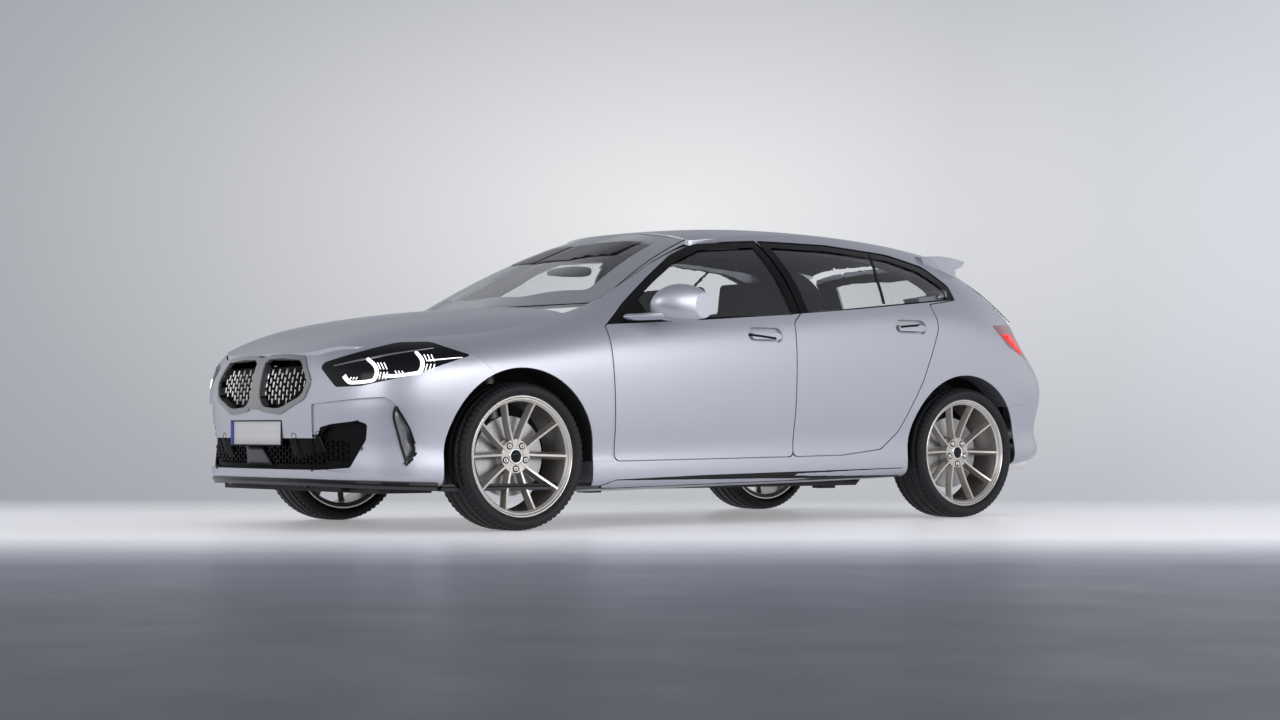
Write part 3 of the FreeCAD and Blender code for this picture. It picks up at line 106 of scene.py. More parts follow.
# The diagonal view onto the front corner starts from the nose's middle
CORNER = Vector((0, NOSE, 0))
DIAGONAL = Vector((1, 1, 0)).normalized()
INTO_CORNER = Vector((-1, 1, 0)).normalized()
# Rays start this far off, outside the car
FAR = 4


# Materials

NOISE_DETAIL = 4
BUMP_HEIGHT = 0.001
COLOUR_SPREAD = (0.3, 0.7)
GLASS_IOR = 1.45


def shader(name):
    """A new material with its node tree and its main shader."""
    made = bpy.data.materials.new(name)
    made.use_nodes = True
    return made, made.node_tree, made.node_tree.nodes["Principled BSDF"]


def add_node(tree, kind, operation=None, inputs=None):
    """A new node of a tree, with its operation and the values set on its inputs."""
    made = tree.nodes.new("ShaderNode" + kind)
    if operation:
        made.operation = operation
    for key, value in (inputs or {}).items():
        made.inputs[key].default_value = value
    return made


def ramp_of(tree, stops):
    """A colour ramp through stops of (position, colour)."""
    ramp = tree.nodes.new("ShaderNodeValToRGB")
    elements = ramp.color_ramp.elements
    elements[0].position, elements[1].position = stops[0][0], stops[-1][0]
    elements[0].color, elements[1].color = (*stops[0][1], 1), (*stops[-1][1], 1)
    for position, colour in stops[1:-1]:
        elements.new(position).color = (*colour, 1)
    return ramp


def grain(tree, bsdf, scale, bump, colours=None, rough=None):
    """Fine noise for bump, colour and roughness in object space."""
    link = tree.links.new
    place = add_node(tree, "TexCoord")
    noise = add_node(tree, "TexNoise", inputs={"Scale": scale, "Detail": NOISE_DETAIL})
    link(place.outputs["Object"], noise.inputs["Vector"])
    relief = add_node(tree, "Bump", inputs={"Strength": bump, "Distance": BUMP_HEIGHT})
    link(noise.outputs["Fac"], relief.inputs["Height"])
    link(relief.outputs["Normal"], bsdf.inputs["Normal"])
    if colours:
        ramp = ramp_of(tree, list(zip(COLOUR_SPREAD, colours)))
        link(noise.outputs["Fac"], ramp.inputs["Fac"])
        link(ramp.outputs["Color"], bsdf.inputs["Base Color"])
    if rough:
        spread = add_node(tree, "MapRange", inputs={"To Min": rough[0], "To Max": rough[1]})
        link(noise.outputs["Fac"], spread.inputs["Value"])
        link(spread.outputs["Result"], bsdf.inputs["Roughness"])


def surface(name, colours, rough, scale, bump, metal=0, coat=0, coat_rough=0.03,
            specular=0.5):
    """An opaque finish between two colours and two roughnesses."""
    made, tree, bsdf = shader(name)
    bsdf.inputs["Metallic"].default_value = metal
    bsdf.inputs["Coat Weight"].default_value = coat
    bsdf.inputs["Coat Roughness"].default_value = coat_rough
    bsdf.inputs["Specular IOR Level"].default_value = specular
    grain(tree, bsdf, scale, bump, colours, rough)
    return made


def clear(name, colour):
    """Clear glass."""
    made, tree, bsdf = shader(name)
    bsdf.inputs["Base Color"].default_value = (*colour, 1)
    bsdf.inputs["Transmission Weight"].default_value = 1
    bsdf.inputs["IOR"].default_value = GLASS_IOR
    bsdf.inputs["Roughness"].default_value = 0
    grain(tree, bsdf, scale=3, bump=0.01)
    return made


def glowing(name, colour, strength):
    """A lit lamp part."""
    made, tree, bsdf = shader(name)
    bsdf.inputs["Emission Color"].default_value = (*colour, 1)
    bsdf.inputs["Emission Strength"].default_value = strength
    grain(tree, bsdf, scale=300, bump=0.05, colours=(colour, colour), rough=(0.15, 0.25))
    return made


PAINT = surface("paint", ((0.44, 0.45, 0.51), (0.48, 0.49, 0.55)), (0.32, 0.38),
                scale=900, bump=0.02, metal=0.7, coat=0.25, coat_rough=0.2)
GLOSS_BLACK = surface("gloss_black",
                      ((0.002, 0.002, 0.003), (0.004, 0.004, 0.005)), (0.1, 0.16),
                      scale=40, bump=0.01, specular=0.18)
LAMP_BLACK = surface("lamp_black", ((0.002, 0.0025, 0.004), (0.004, 0.005, 0.007)),
                     (0.1, 0.16), scale=60, bump=0.01, specular=0.22)
TRIM = surface("trim_black", ((0.004, 0.004, 0.005), (0.008, 0.008, 0.009)),
               (0.45, 0.6), scale=700, bump=0.15, specular=0.25)
MESH_BLACK = surface("mesh_black",
                     ((0.001, 0.001, 0.0015), (0.003, 0.003, 0.0035)), (0.5, 0.65),
                     scale=300, bump=0.1, specular=0.12)
LINING = surface("lining", ((0.01, 0.01, 0.011), (0.018, 0.018, 0.02)),
                 (0.8, 0.95), scale=500, bump=0.3)
HEADLINER = surface("headliner", ((0.1, 0.1, 0.105), (0.14, 0.14, 0.145)),
                    (0.85, 0.95), scale=700, bump=0.3)
CLOTH = surface("seat_cloth", ((0.004, 0.004, 0.005), (0.01, 0.01, 0.012)),
                (0.75, 0.9), scale=900, bump=0.4, specular=0.2)
RUBBER = surface("rubber", ((0.007, 0.0075, 0.009), (0.014, 0.015, 0.017)),
                 (0.5, 0.65), scale=350, bump=0.25, specular=0.3)
ALLOY = surface("alloy", ((0.5, 0.47, 0.44), (0.58, 0.55, 0.52)), (0.26, 0.34),
                scale=600, bump=0.03, metal=0.85, coat=0.2, coat_rough=0.1)
BRIGHT = surface("bright_metal", ((0.72, 0.71, 0.7), (0.8, 0.79, 0.78)),
                 (0.12, 0.2), scale=500, bump=0.02, metal=1)
IRON = surface("disc_iron", ((0.36, 0.36, 0.36), (0.46, 0.46, 0.46)),
               (0.3, 0.45), scale=90, bump=0.1, metal=0.8)
CALIPER = surface("caliper", ((0.3, 0.3, 0.31), (0.38, 0.38, 0.39)),
                  (0.35, 0.45), scale=400, bump=0.08, metal=0.4)
STEEL = surface("chassis_steel", ((0.02, 0.02, 0.021), (0.04, 0.04, 0.042)),
                (0.5, 0.7), scale=150, bump=0.2, metal=0.4)
GREY_FRAME = surface("grille_frame", ((0.2, 0.205, 0.22), (0.24, 0.245, 0.26)),
                     (0.25, 0.32), scale=800, bump=0.02, metal=0.7, coat=0.4, coat_rough=0.1)
DARK_PANEL = surface("sensor_panel", ((0.022, 0.025, 0.032), (0.03, 0.033, 0.041)),
                     (0.3, 0.4), scale=500, bump=0.03)
PLATE_WHITE = surface("plate_white", ((0.62, 0.62, 0.63), (0.66, 0.66, 0.67)),
                      (0.4, 0.5), scale=300, bump=0.03)
PLATE_BLUE = surface("plate_blue", ((0.0, 0.01, 0.3), (0.0, 0.015, 0.36)),
                     (0.35, 0.45), scale=300, bump=0.03)
LAMP_DARK = surface("lamp_dark_red", ((0.16, 0.0, 0.008), (0.22, 0.002, 0.012)),
                    (0.08, 0.15), scale=60, bump=0.02, coat=1)
EDGE_GLASS = surface("screen_edge", ((0.5, 0.51, 0.56), (0.55, 0.56, 0.61)),
                     (0.12, 0.18), scale=200, bump=0.05, coat=0.3)
GLASS = clear("window_glass", (0.93, 0.94, 0.95))
REAR_GLASS = clear("rear_glass", (0.9, 0.91, 0.92))
LIGHT = glowing("lamp_light", (0.95, 0.97, 1.0), 1.3)
RED_LIGHT = glowing("lamp_red_light", (1.0, 0.02, 0.02), 0.55)


# Surface pickers: a point of the body under a place in one of its views, and its normal

def tree_of(names):
    """The nodes' surfaces together, for casting rays at them."""
    verts, faces = [], []
    for name in names:
        mesh = nodes[name].data
        first = len(verts)
        verts += [v.co.copy() for v in mesh.vertices]
        faces += [[first + i for i in p.vertices] for p in mesh.polygons]
    return BVHTree.FromPolygons(verts, faces)


SKIN = tree_of(["door_front_left", "door_rear_left", "side_frame_left", "fender_left",
                "front_bumper", "rear_bumper", "headlamp_left", "tail_lamp_left", "bonnet",
                "roof_panel", "tailgate", "windscreen", "tailgate_glass"])
GRILLE = tree_of(["grille"])
INTAKE = tree_of(["lower_grille"])
GLAZING = tree_of(["door_front_left", "door_rear_left", "glass_front_left", "glass_rear_left"])


def pick(start, along, tree=SKIN):
    """Where a ray meets the surfaces, or the nearest place to it, and the normal there."""
    place, normal = tree.ray_cast(start, along)[:2]
    if place is None:
        place, normal = tree.find_nearest(start + along * FAR)[:2]
    if normal.dot(along) > 0:
        normal = -normal
    return place, normal


def from_side(y, z, tree=SKIN):
    """A place of the left side, seen from the left."""
    return pick(Vector((FAR, y, z)), Vector((-1, 0, 0)), tree)


def from_front(x, z, tree=SKIN):
    """A place of the front, seen from ahead."""
    return pick(Vector((x, -FAR, z)), Vector((0, 1, 0)), tree)


def from_top(x, y):
    """A place seen from above."""
    return pick(Vector((x, y, FAR)), Vector((0, 0, -1)))


def from_corner(d, z):
    """A place of the front left, seen along the diagonal: how far round, and height."""
    return pick(CORNER + DIAGONAL * d - INTO_CORNER * FAR + Vector((0, 0, z)), INTO_CORNER)


def on_grille(x, z):
    """A place on the grille, seen from the front."""
    return from_front(x, z, GRILLE)


def on_intake(x, z):
    """A place on the lower intake, seen from the front."""
    return from_front(x, z, INTAKE)


def on_glazing(y, z):
    """A place on a side window, seen from the side."""
    return from_side(y, z, GLAZING)


# Outlines and lines

# A rounded corner takes up at most this share of the sides next to it
ROUND_SHARE = 0.45
# Steps between two points of a smooth line, and the longest stretch of a straight one
CURVE_STEPS = 4
LINE_STEP = 0.02


def rounded(points, radius, steps=4):
    """The closed outline with its corners rounded."""
    line = []
    for i in range(len(points)):
        here = Vector(points[i])
        a = Vector(points[i - 1]) - here
        b = Vector(points[(i + 1) % len(points)]) - here
        reach = min(radius, a.length * ROUND_SHARE, b.length * ROUND_SHARE)
        start, end = here + a.normalized() * reach, here + b.normalized() * reach
        for k in range(steps + 1):
            t = k / steps
            line.append(start * (1 - t) ** 2 + here * 2 * t * (1 - t) + end * t * t)
    return line


def curve_through(points):
    """A smooth line through the points, and through the widths that they may bring."""
    line = []
    for i in range(len(points) - 1):
        a, b = Vector(points[max(i - 1, 0)]), Vector(points[i])
        c, d = Vector(points[i + 1]), Vector(points[min(i + 2, len(points) - 1)])
        for k in range(CURVE_STEPS):
            t = k / CURVE_STEPS
            line.append(0.5 * (2 * b + (c - a) * t + (2 * a - 5 * b + 4 * c - d) * t ** 2
                               + (3 * b - a - 3 * c + d) * t ** 3))
    return line + [Vector(points[-1])]


def divided(points, step):
    """The line with points added so that none lie further apart than the step."""
    line = [Vector(points[0])]
    for a, b in zip(points, points[1:]):
        a, b = Vector(a), Vector(b)
        count = max(1, math.ceil((b - a).length / step))
        line += [a + (b - a) * (k + 1) / count for k in range(count)]
    return line


def edges_of(outline):
    """Start and end of each edge of the closed outline."""
    return [(Vector(outline[i - 1]), Vector(outline[i])) for i in range(len(outline))]


def nearest_on(outline, point):
    """The place on the closed outline that is nearest to the point."""
    best = None
    for a, b in edges_of(outline):
        run = b - a
        seat = a + run * max(0, min(1, (point - a).dot(run) / run.length_squared))
        if best is None or (seat - point).length < (best - point).length:
            best = seat
    return best


def margin(point, outline):
    """How far inside the closed outline a point lies; below zero outside it."""
    x, z = point
    crossings = 0
    for a, b in edges_of(outline):
        run = b - a
        if (a.y > z) != (b.y > z) and x < a.x + (z - a.y) * run.x / run.y:
            crossings += 1
    distance = (nearest_on(outline, Vector(point)) - Vector(point)).length
    return distance if crossings % 2 else -distance


# Mesh makers

SHEET_CELL = 0.04
# Top of a strip's section, in shares of its width and of its rise
STRIP_TOP = [(-0.5, 0.6), (-0.3, 1), (0.3, 1), (0.5, 0.6)]


def finish_mesh(name, mesh, material, body, smooth=True):
    """Puts the mesh into the scene as a piece that rides the body."""
    item = bpy.data.objects.new(name, mesh)
    bpy.context.scene.collection.objects.link(item)
    mesh.materials.append(material)
    for polygon in mesh.polygons:
        polygon.use_smooth = smooth
    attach(item, body)
    return item


def solid_mesh(name, verts, faces, material, body, smooth=True):
    """A closed mesh whose faces are turned outwards."""
    bm = bmesh.new()
    made = [bm.verts.new(v) for v in verts]
    for face in faces:
        bm.faces.new([made[i] for i in face])
    bmesh.ops.recalc_face_normals(bm, faces=bm.faces[:])
    mesh = bpy.data.meshes.new(name)
    bm.to_mesh(mesh)
    bm.free()
    return finish_mesh(name, mesh, material, body, smooth)


def loft_faces(first, rows, around):
    """Faces over rows of points, each row closed in itself, with both ends shut."""
    faces = []
    for i in range(rows - 1):
        for k in range(around):
            a, b = first + i * around + k, first + i * around + (k + 1) % around
            faces.append((a, b, b + around, a + around))
    last = first + (rows - 1) * around
    faces.append(tuple(range(first, first + around)))
    faces.append(tuple(range(last + around - 1, last - 1, -1)))
    return faces


def turned_faces(rows, around):
    """Faces over rows of points that run once round an axis, each row closed in itself."""
    faces = []
    for k in range(rows):
        for i in range(around):
            a, b = k * around + i, k * around + (i + 1) % around
            faces.append((a, b, (b + around) % (rows * around), (a + around) % (rows * around)))
    return faces


def mirrored(verts):
    """The points on the car's other side."""
    return [Vector((-v.x, v.y, v.z)) for v in verts]


def plate(name, outline, cast, material, body, proud, depth, radius=0.0, mirror=False):
    """A thin plate on the body's surface inside an outline drawn in one of its views."""
    line = rounded(outline, radius) if radius else outline
    bm = bmesh.new()
    bm.faces.new([bm.verts.new((p[0], p[1], 0)) for p in line])
    for axis in (0, 1):
        places = [p[axis] for p in line]
        count = max(1, math.ceil((max(places) - min(places)) / SHEET_CELL))
        for k in range(1, count):
            place = Vector((0, 0, 0))
            place[axis] = min(places) + (max(places) - min(places)) * k / count
            normal = Vector((0, 0, 0))
            normal[axis] = 1
            bmesh.ops.bisect_plane(bm, geom=bm.verts[:] + bm.edges[:] + bm.faces[:],
                                   plane_co=place, plane_no=normal)
    for vert in bm.verts:
        place, normal = cast(vert.co.x, vert.co.y)
        vert.co = place + normal * proud
    bm.normal_update()
    out = cast(line[0][0], line[0][1])[1]
    largest = max(bm.faces, key=lambda f: f.calc_area())
    if largest.normal.dot(out) < 0:
        bmesh.ops.reverse_faces(bm, faces=bm.faces)
    if mirror:
        for vert in bm.verts:
            vert.co.x = -vert.co.x
        bmesh.ops.reverse_faces(bm, faces=bm.faces)
    mesh = bpy.data.meshes.new(name)
    bm.to_mesh(mesh)
    bm.free()
    thick = finish_mesh(name, mesh, material, body).modifiers.new("thickness", "SOLIDIFY")
    thick.thickness = depth
    thick.offset = -1


def plates(name, outline, cast, material, body, **options):
    """The same plate on the left and, mirrored, on the right."""
    for side, sign in SIDES:
        plate("%s_%s" % (name, side), outline, cast, material, body.replace("SIDE", side),
              mirror=sign < 0, **options)


def strips(name, lines, cast, material, body, rise, width=None, depth=0.003, mirror=False):
    """Raised strips with bevelled edges along lines drawn in one of the body's views. Points
    bring their own width as a third number where the strip has none."""
    section = [(-0.5, -depth)] + [(u, rise * w) for u, w in STRIP_TOP] + [(0.5, -depth)]
    verts, faces = [], []
    for line in lines:
        seats = [cast(point[0], point[1]) for point in line]
        faces += loft_faces(len(verts), len(seats), len(section))
        for i, (place, normal) in enumerate(seats):
            run = seats[min(i + 1, len(seats) - 1)][0] - seats[max(i - 1, 0)][0]
            side = normal.cross(run).normalized()
            own = line[i][2] if len(line[i]) > 2 else width
            verts += [place + side * u * own + normal * w for u, w in section]
    if mirror:
        verts = mirrored(verts)
    solid_mesh(name, verts, faces, material, body, smooth=False)


def both_strips(name, lines, cast, material, body, **options):
    """The same strips on the left and, mirrored, on the right."""
    for side, sign in SIDES:
        strips("%s_%s" % (name, side), lines, cast, material, body.replace("SIDE", side),
               mirror=sign < 0, **options)


def swept(name, seats, section, material, body, mirror=False):
    """A solid of one section, in (out, up), carried along the seats."""
    verts = [place + out * u + Vector((0, 0, w)) for place, out in seats for u, w in section]
    if mirror:
        verts = mirrored(verts)
    solid_mesh(name, verts, loft_faces(0, len(seats), len(section)), material, body,
               smooth=False)


def ring(name, profile, centre, material, body, turns=96):
    """A ring turned about the X axis through the (radius, place) points of its section."""
    verts = []
    for k in range(turns):
        turn = 2 * math.pi * k / turns
        for r, x in profile:
            verts.append(centre + Vector((x, r * math.cos(turn), r * math.sin(turn))))
    solid_mesh(name, verts, turned_faces(turns, len(profile)), material, body)


# Finishes of the frame's own pieces

def dress(names, material):
    """Gives the nodes one material."""
    for name in names:
        mesh = nodes[name].data
        mesh.materials.clear()
        mesh.materials.append(material)


def dress_faces(name, material, rule):
    """Gives the node's faces whose middle and normal meet the rule another material."""
    mesh = nodes[name].data
    mesh.materials.append(material)
    for polygon in mesh.polygons:
        if rule(polygon.center, polygon.normal):
            polygon.material_index = len(mesh.materials) - 1


for side, sign in SIDES:
    dress(["door_front_" + side, "door_rear_" + side, "side_frame_" + side, "fender_" + side,
           "mirror_" + side], PAINT)
    dress(["glass_front_" + side], GLASS)
    dress(["glass_rear_" + side], REAR_GLASS)
    dress(["front_seat_" + side], CLOTH)
    dress(["headlamp_" + side], LAMP_BLACK)
    dress(["tail_lamp_" + side], LAMP_DARK)
    dress(["knuckle_" + side], CALIPER)
    for end in ENDS:
        dress(["wheel_%s_%s" % (end, side)], ALLOY)
        dress(["tyre_%s_%s" % (end, side)], RUBBER)
        dress(["brake_disc_%s_%s" % (end, side)], IRON)
dress(["bonnet", "roof_panel", "front_bumper", "rear_bumper", "tailgate"], PAINT)
dress(["windscreen"], GLASS)
dress(["tailgate_glass"], REAR_GLASS)
dress(["windscreen_frame"], EDGE_GLASS)
dress(["lower_grille"], MESH_BLACK)
dress(["underbody", "front_axle", "rear_axle", "engine_block"], STEEL)
dress(["rear_seat"], CLOTH)
dress(["dashboard"], LINING)
dress(["grille"], GREY_FRAME)
dress(["exhaust"], BRIGHT)

# Waist line of the doors, from the front: place along the car and height
WAIST = [(-0.92, 0.893), (-0.83, 0.912), (-0.31, 0.948), (0.172, 0.981), (0.68, 1.026),
         (1.268, 1.084), (1.8, 1.14)]
WAIST_GAP = 0.001
PILLAR_FRONT, PILLAR_REAR, PILLAR_TOP = 0.1, 0.42, 1.33
# How far a face's normal leans that way before the face counts as looking there
LEANING = 0.3


def waist(y):
    """Height of the waist line at a place along the car."""
    for (a, low), (b, high) in zip(WAIST, WAIST[1:]):
        if y <= b:
            return low + (high - low) * (y - a) / (b - a)
    return WAIST[-1][1]


def above_waist(place, normal):
    """The door's frame round its window."""
    return place.z > waist(place.y) + WAIST_GAP


def centre_pillar(place, normal):
    """The post between the doors, from the waist up to the roof rail."""
    return PILLAR_FRONT < place.y < PILLAR_REAR and waist(place.y) < place.z < PILLAR_TOP


def looks_inwards(sign):
    """The rule for the inside of a side's panel."""
    return lambda place, normal: normal.x * sign < -LEANING


def looks_down(place, normal):
    """The underside of a panel."""
    return normal.z < -LEANING


def inside_lid(place, normal):
    """The tailgate's inner faces."""
    return looks_down(place, normal) and normal.y < LEANING


for side, sign in SIDES:
    for name in ("door_front_" + side, "door_rear_" + side):
        dress_faces(name, GLOSS_BLACK, above_waist)
        dress_faces(name, LINING, looks_inwards(sign))
    dress_faces("side_frame_" + side, LINING, looks_inwards(sign))
    dress_faces("side_frame_" + side, GLOSS_BLACK, centre_pillar)
dress_faces("roof_panel", HEADLINER, looks_down)
dress_faces("tailgate", LINING, inside_lid)

# Grille openings, left one: across and height. The mesh behind is black, with bright studs and
# two short ticks at the foot of each.
OPENING = [(0.015, 0.746), (0.015, 0.576), (0.063, 0.52), (0.225, 0.505), (0.405, 0.574),
           (0.441, 0.651), (0.346, 0.763), (0.177, 0.774), (0.058, 0.771)]
FRAME_WIDTH = 0.0198
MESH_EDGE, STUD_EDGE = FRAME_WIDTH * 1.05, FRAME_WIDTH + 0.004
STUD_START, STUD_STEP = (0.042, 0.53), (0.03116, 0.0361)
STUD_COLUMNS, STUD_ROWS = 13, 9
STUD_LONG, STUD_WIDE, STUD_RISE = 0.024, 0.006, 0.012
TICK = (0.013, -0.012)
TICK_SHARE = 0.6
# A stud stands where the mesh is level at these heights, in stud lengths
PROBES = (-1.0, -0.5, 0, 0.5)
LEVEL = 0.016


def mesh_face(place, normal):
    """The grille's faces within its two openings."""
    return margin((abs(place.x), place.z), OPENING) > MESH_EDGE


dress_faces("grille", MESH_BLACK, mesh_face)
studs, ticks = [], []
for column in range(STUD_COLUMNS):
    x = STUD_START[0] + column * STUD_STEP[0]
    for row in range(STUD_ROWS):
        z = STUD_START[1] + (row + column % 2 / 2) * STUD_STEP[1]
        depths = [on_grille(x, z + STUD_LONG * t)[0].y for t in PROBES]
        if margin((x, z), OPENING) > STUD_EDGE and max(depths) - min(depths) < LEVEL:
            foot = (x, z - STUD_LONG / 2)
            studs.append([foot, (x, z + STUD_LONG / 2)])
            for run in (-TICK[0], TICK[0]):
                tip = (foot[0] + run, foot[1] + TICK[1])
                if margin(tip, OPENING) > STUD_EDGE:
                    ticks.append([foot, tip])
both_strips("grille_studs", studs, on_grille, BRIGHT, "body", width=STUD_WIDE, rise=STUD_RISE)
both_strips("grille_ticks", ticks, on_grille, GLOSS_BLACK, "body",
            width=STUD_WIDE * TICK_SHARE, rise=STUD_RISE * TICK_SHARE)

# Rounded inner edge of each opening's frame, level with the frame
BEND, BEND_STEPS = 0.045, 6


def on_frame(x, z):
    """The frame's front beside a place near the opening's outline."""
    point = Vector((x, z))
    seat = nearest_on(OPENING, point)
    inward = (point - seat).normalized() * FRAME_WIDTH / 2
    place, normal = on_grille(seat.x + inward.x, seat.y + inward.y)
    return Vector((x, place.y, z)), normal


# The opening's outline drawn in towards its middle by the frame's width
middle = Vector((sum(p[0] for p in OPENING), sum(p[1] for p in OPENING))) / len(OPENING)
inner = [Vector(p) + (middle - Vector(p)).normalized() * FRAME_WIDTH for p in OPENING]
bezel = rounded(inner, BEND, BEND_STEPS)
both_strips("grille_bezel", [divided(bezel + bezel[:1], LINE_STEP)], on_frame, GREY_FRAME,
            "body", width=0.016, rise=-0.001, depth=0.006)

# Number plate: panel with a dark rim, a white face and a blue strip
PLATE_HALF, PLATE_LOW, PLATE_HIGH, PLATE_RIM = 0.238, 0.37, 0.483, 0.006
BLUE_EDGE = -0.197


def box_outline(x0, z0, x1, z1):
    """The four corners of an upright rectangle."""
    return [(x0, z0), (x1, z0), (x1, z1), (x0, z1)]


def on_plate(x, z):
    """The plate's own upright face, bent a little with the bumper."""
    place = from_front(abs(x), PLATE_HIGH)[0]
    return Vector((x, place.y, z)), Vector((0, -1, 0))


plate("plate_rim", box_outline(-PLATE_HALF, PLATE_LOW, PLATE_HALF, PLATE_HIGH), on_plate,
      TRIM, "body", proud=0.002, depth=0.012, radius=PLATE_RIM)
for name, start, stop, material in (
        ("plate_face", BLUE_EDGE, PLATE_HALF - PLATE_RIM, PLATE_WHITE),
        ("plate_strip", -PLATE_HALF + PLATE_RIM, BLUE_EDGE, PLATE_BLUE)):
    plate(name, box_outline(start, PLATE_LOW + PLATE_RIM, stop, PLATE_HIGH - PLATE_RIM),
          on_plate, material, "body", proud=0.0035, depth=0.002)

# Lower intake: honeycomb and sensor panel
INTAKE_LOW, INTAKE_TOP = 0.262, 0.38
INTAKE_COLUMNS, COMB_ROWS = 28, 8
CELL, CELL_WALL, CELL_RISE = 0.017, 0.0035, 0.009
CELL_STEP = (CELL * 1.5, CELL * math.sqrt(3))
PANEL = [(-0.131, 0.369), (0.014, 0.370), (0.105, 0.285), (-0.118, 0.285)]


def cell_walls(x, z):
    """Three walls of a honeycomb cell about (x, z)."""
    corners = [(x + CELL * math.cos(math.pi * k / 3), z + CELL * math.sin(math.pi * k / 3))
               for k in range(4)]
    return [list(pair) for pair in zip(corners, corners[1:])]


def comb(start, columns, fits):
    """Walls of the honeycomb's cells that fit, counted from the cell at the start."""
    walls = []
    for column in columns:
        for row in range(COMB_ROWS):
            x = start[0] + column * CELL_STEP[0]
            z = start[1] + (row + column % 2 / 2) * CELL_STEP[1]
            if fits(x, z):
                walls += cell_walls(x, z)
    return walls


def over_mesh(x, z):
    """Whether the intake's mesh fills the view around (x, z)."""
    depths = []
    for across, up in ((0, 0), (CELL, 0), (-CELL, 0), (0, CELL), (0, -CELL)):
        start = Vector((x + across, -FAR, z + up))
        place, normal = INTAKE.ray_cast(start, Vector((0, 1, 0)))[:2]
        if place is None or normal.y > -LEANING:
            return False
        depths.append(place.y)
    return max(depths) - min(depths) < CELL


def in_intake(x, z):
    """Whether a cell about (x, z) lies in the open mesh beside the sensor panel."""
    return z < INTAKE_TOP and over_mesh(x, z) and margin((x, z), PANEL) < -CELL


walls = comb((0, INTAKE_LOW), range(-INTAKE_COLUMNS, INTAKE_COLUMNS + 1), in_intake)
strips("intake_comb", walls, on_intake, GLOSS_BLACK, "body", width=CELL_WALL, rise=CELL_RISE)
plate("sensor_panel", PANEL, on_intake, DARK_PANEL, "body", proud=0.016, depth=0.012,
      radius=0.006)

# Headlamp: two bent light guides, fins beside them, a bright brow and a fine rear line. Places
# are seen along the diagonal: how far round from the nose's middle, height and width.
LIGHT_GUIDES = {
    "inner": [(0.506, 0.67, 0.02), (0.522, 0.652, 0.018), (0.545, 0.641, 0.015),
              (0.632, 0.648, 0.014), (0.652, 0.665, 0.017), (0.656, 0.69, 0.017),
              (0.642, 0.716, 0.016), (0.607, 0.743, 0.014)],
    "outer": [(0.69, 0.668, 0.016), (0.742, 0.669, 0.014), (0.806, 0.679, 0.013),
              (0.83, 0.684, 0.017), (0.842, 0.708, 0.018), (0.837, 0.74, 0.017),
              (0.808, 0.772, 0.014)]}
# Pairs of fins, each repeated outwards
LIGHT_FINS = [([(0.668, 0.655), (0.674, 0.685)], [(0.672, 0.697), (0.656, 0.725)]),
              ([(0.855, 0.69), (0.861, 0.72)], [(0.859, 0.732), (0.843, 0.76)]),
              ([(0.535, 0.655), (0.541, 0.664)], [(0.742, 0.677), (0.734, 0.69)])]
LIGHT_FIN_COUNT, LIGHT_FIN_STEP = 3, 0.014
BROW = [(0.45, 0.714, 0.004), (0.53, 0.729, 0.008), (0.62, 0.745, 0.01), (0.71, 0.762, 0.01),
        (0.79, 0.776, 0.008), (0.874, 0.79, 0.004)]
REAR_LINE = [(0.862, 0.735, 0.006), (0.92, 0.742, 0.005), (0.965, 0.748, 0.004),
             (0.99, 0.75, 0.003)]
for part, line in LIGHT_GUIDES.items():
    both_strips("light_guide_" + part, [curve_through(line)], from_corner, LIGHT, "body",
                rise=0.004)
fins = [[(x + k * LIGHT_FIN_STEP, z) for x, z in fin]
        for pair in LIGHT_FINS for k in range(LIGHT_FIN_COUNT) for fin in pair]
both_strips("light_fins", fins, from_corner, LIGHT, "body", width=0.0045, rise=0.003)
both_strips("lamp_brow", [curve_through(BROW)], from_corner, GREY_FRAME, "body", rise=0.003)
both_strips("lamp_rear_line", [REAR_LINE], from_corner, LIGHT, "body", rise=0.003)

# Air slit at the bumper's corner: grey blade, behind it a black strip of painted shade standing
# for the slit's opening, and a dark leading edge
SLIT_SHADE_LINE = [(0.742, 0.54), (0.79, 0.449), (0.812, 0.35), (0.803, 0.32), (0.776, 0.29)]
BLADE_EDGE = [(0.735, 0.546), (0.722, 0.5), (0.735, 0.43), (0.752, 0.36), (0.772, 0.295)]
BLADE = [(0.733, 0.535), (0.782, 0.449), (0.803, 0.352), (0.79, 0.322), (0.774, 0.305),
         (0.75, 0.38), (0.728, 0.477), (0.724, 0.51)]
plates("blade", BLADE, from_corner, GREY_FRAME, "body", proud=0.012, depth=0.012, radius=0.01)
# Painted shade: a black strip where the slit's opening is
both_strips("blade_slit_shade", [curve_through(SLIT_SHADE_LINE)], from_corner, GLOSS_BLACK, "body", width=0.01,
            rise=0.014)
both_strips("blade_edge", [curve_through(BLADE_EDGE)], from_corner, TRIM, "body", width=0.006,
            rise=0.014)

# Pocket beside the intake: black panel with a rim and a honeycomb
POCKET = [(0.346, 0.268), (0.362, 0.398), (0.38, 0.434), (0.421, 0.455), (0.571, 0.478),
          (0.582, 0.456), (0.588, 0.363), (0.564, 0.345), (0.384, 0.278)]
POCKET_START, POCKET_COLUMNS, RIM_STEP = (0.36, 0.28), 14, 0.03


def in_pocket(x, z):
    """Whether a cell about (x, z) lies inside the pocket."""
    return margin((x, z), POCKET) > CELL


plates("pocket", POCKET, from_corner, MESH_BLACK, "body", proud=0.002, depth=0.003, radius=0.01)
both_strips("pocket_rim", [divided(POCKET + POCKET[:1], RIM_STEP)], from_corner, GLOSS_BLACK,
            "body", width=0.008, rise=0.006)
both_strips("pocket_comb", comb(POCKET_START, range(POCKET_COLUMNS), in_pocket), from_corner,
            GLOSS_BLACK, "body", width=CELL_WALL, rise=CELL_RISE)

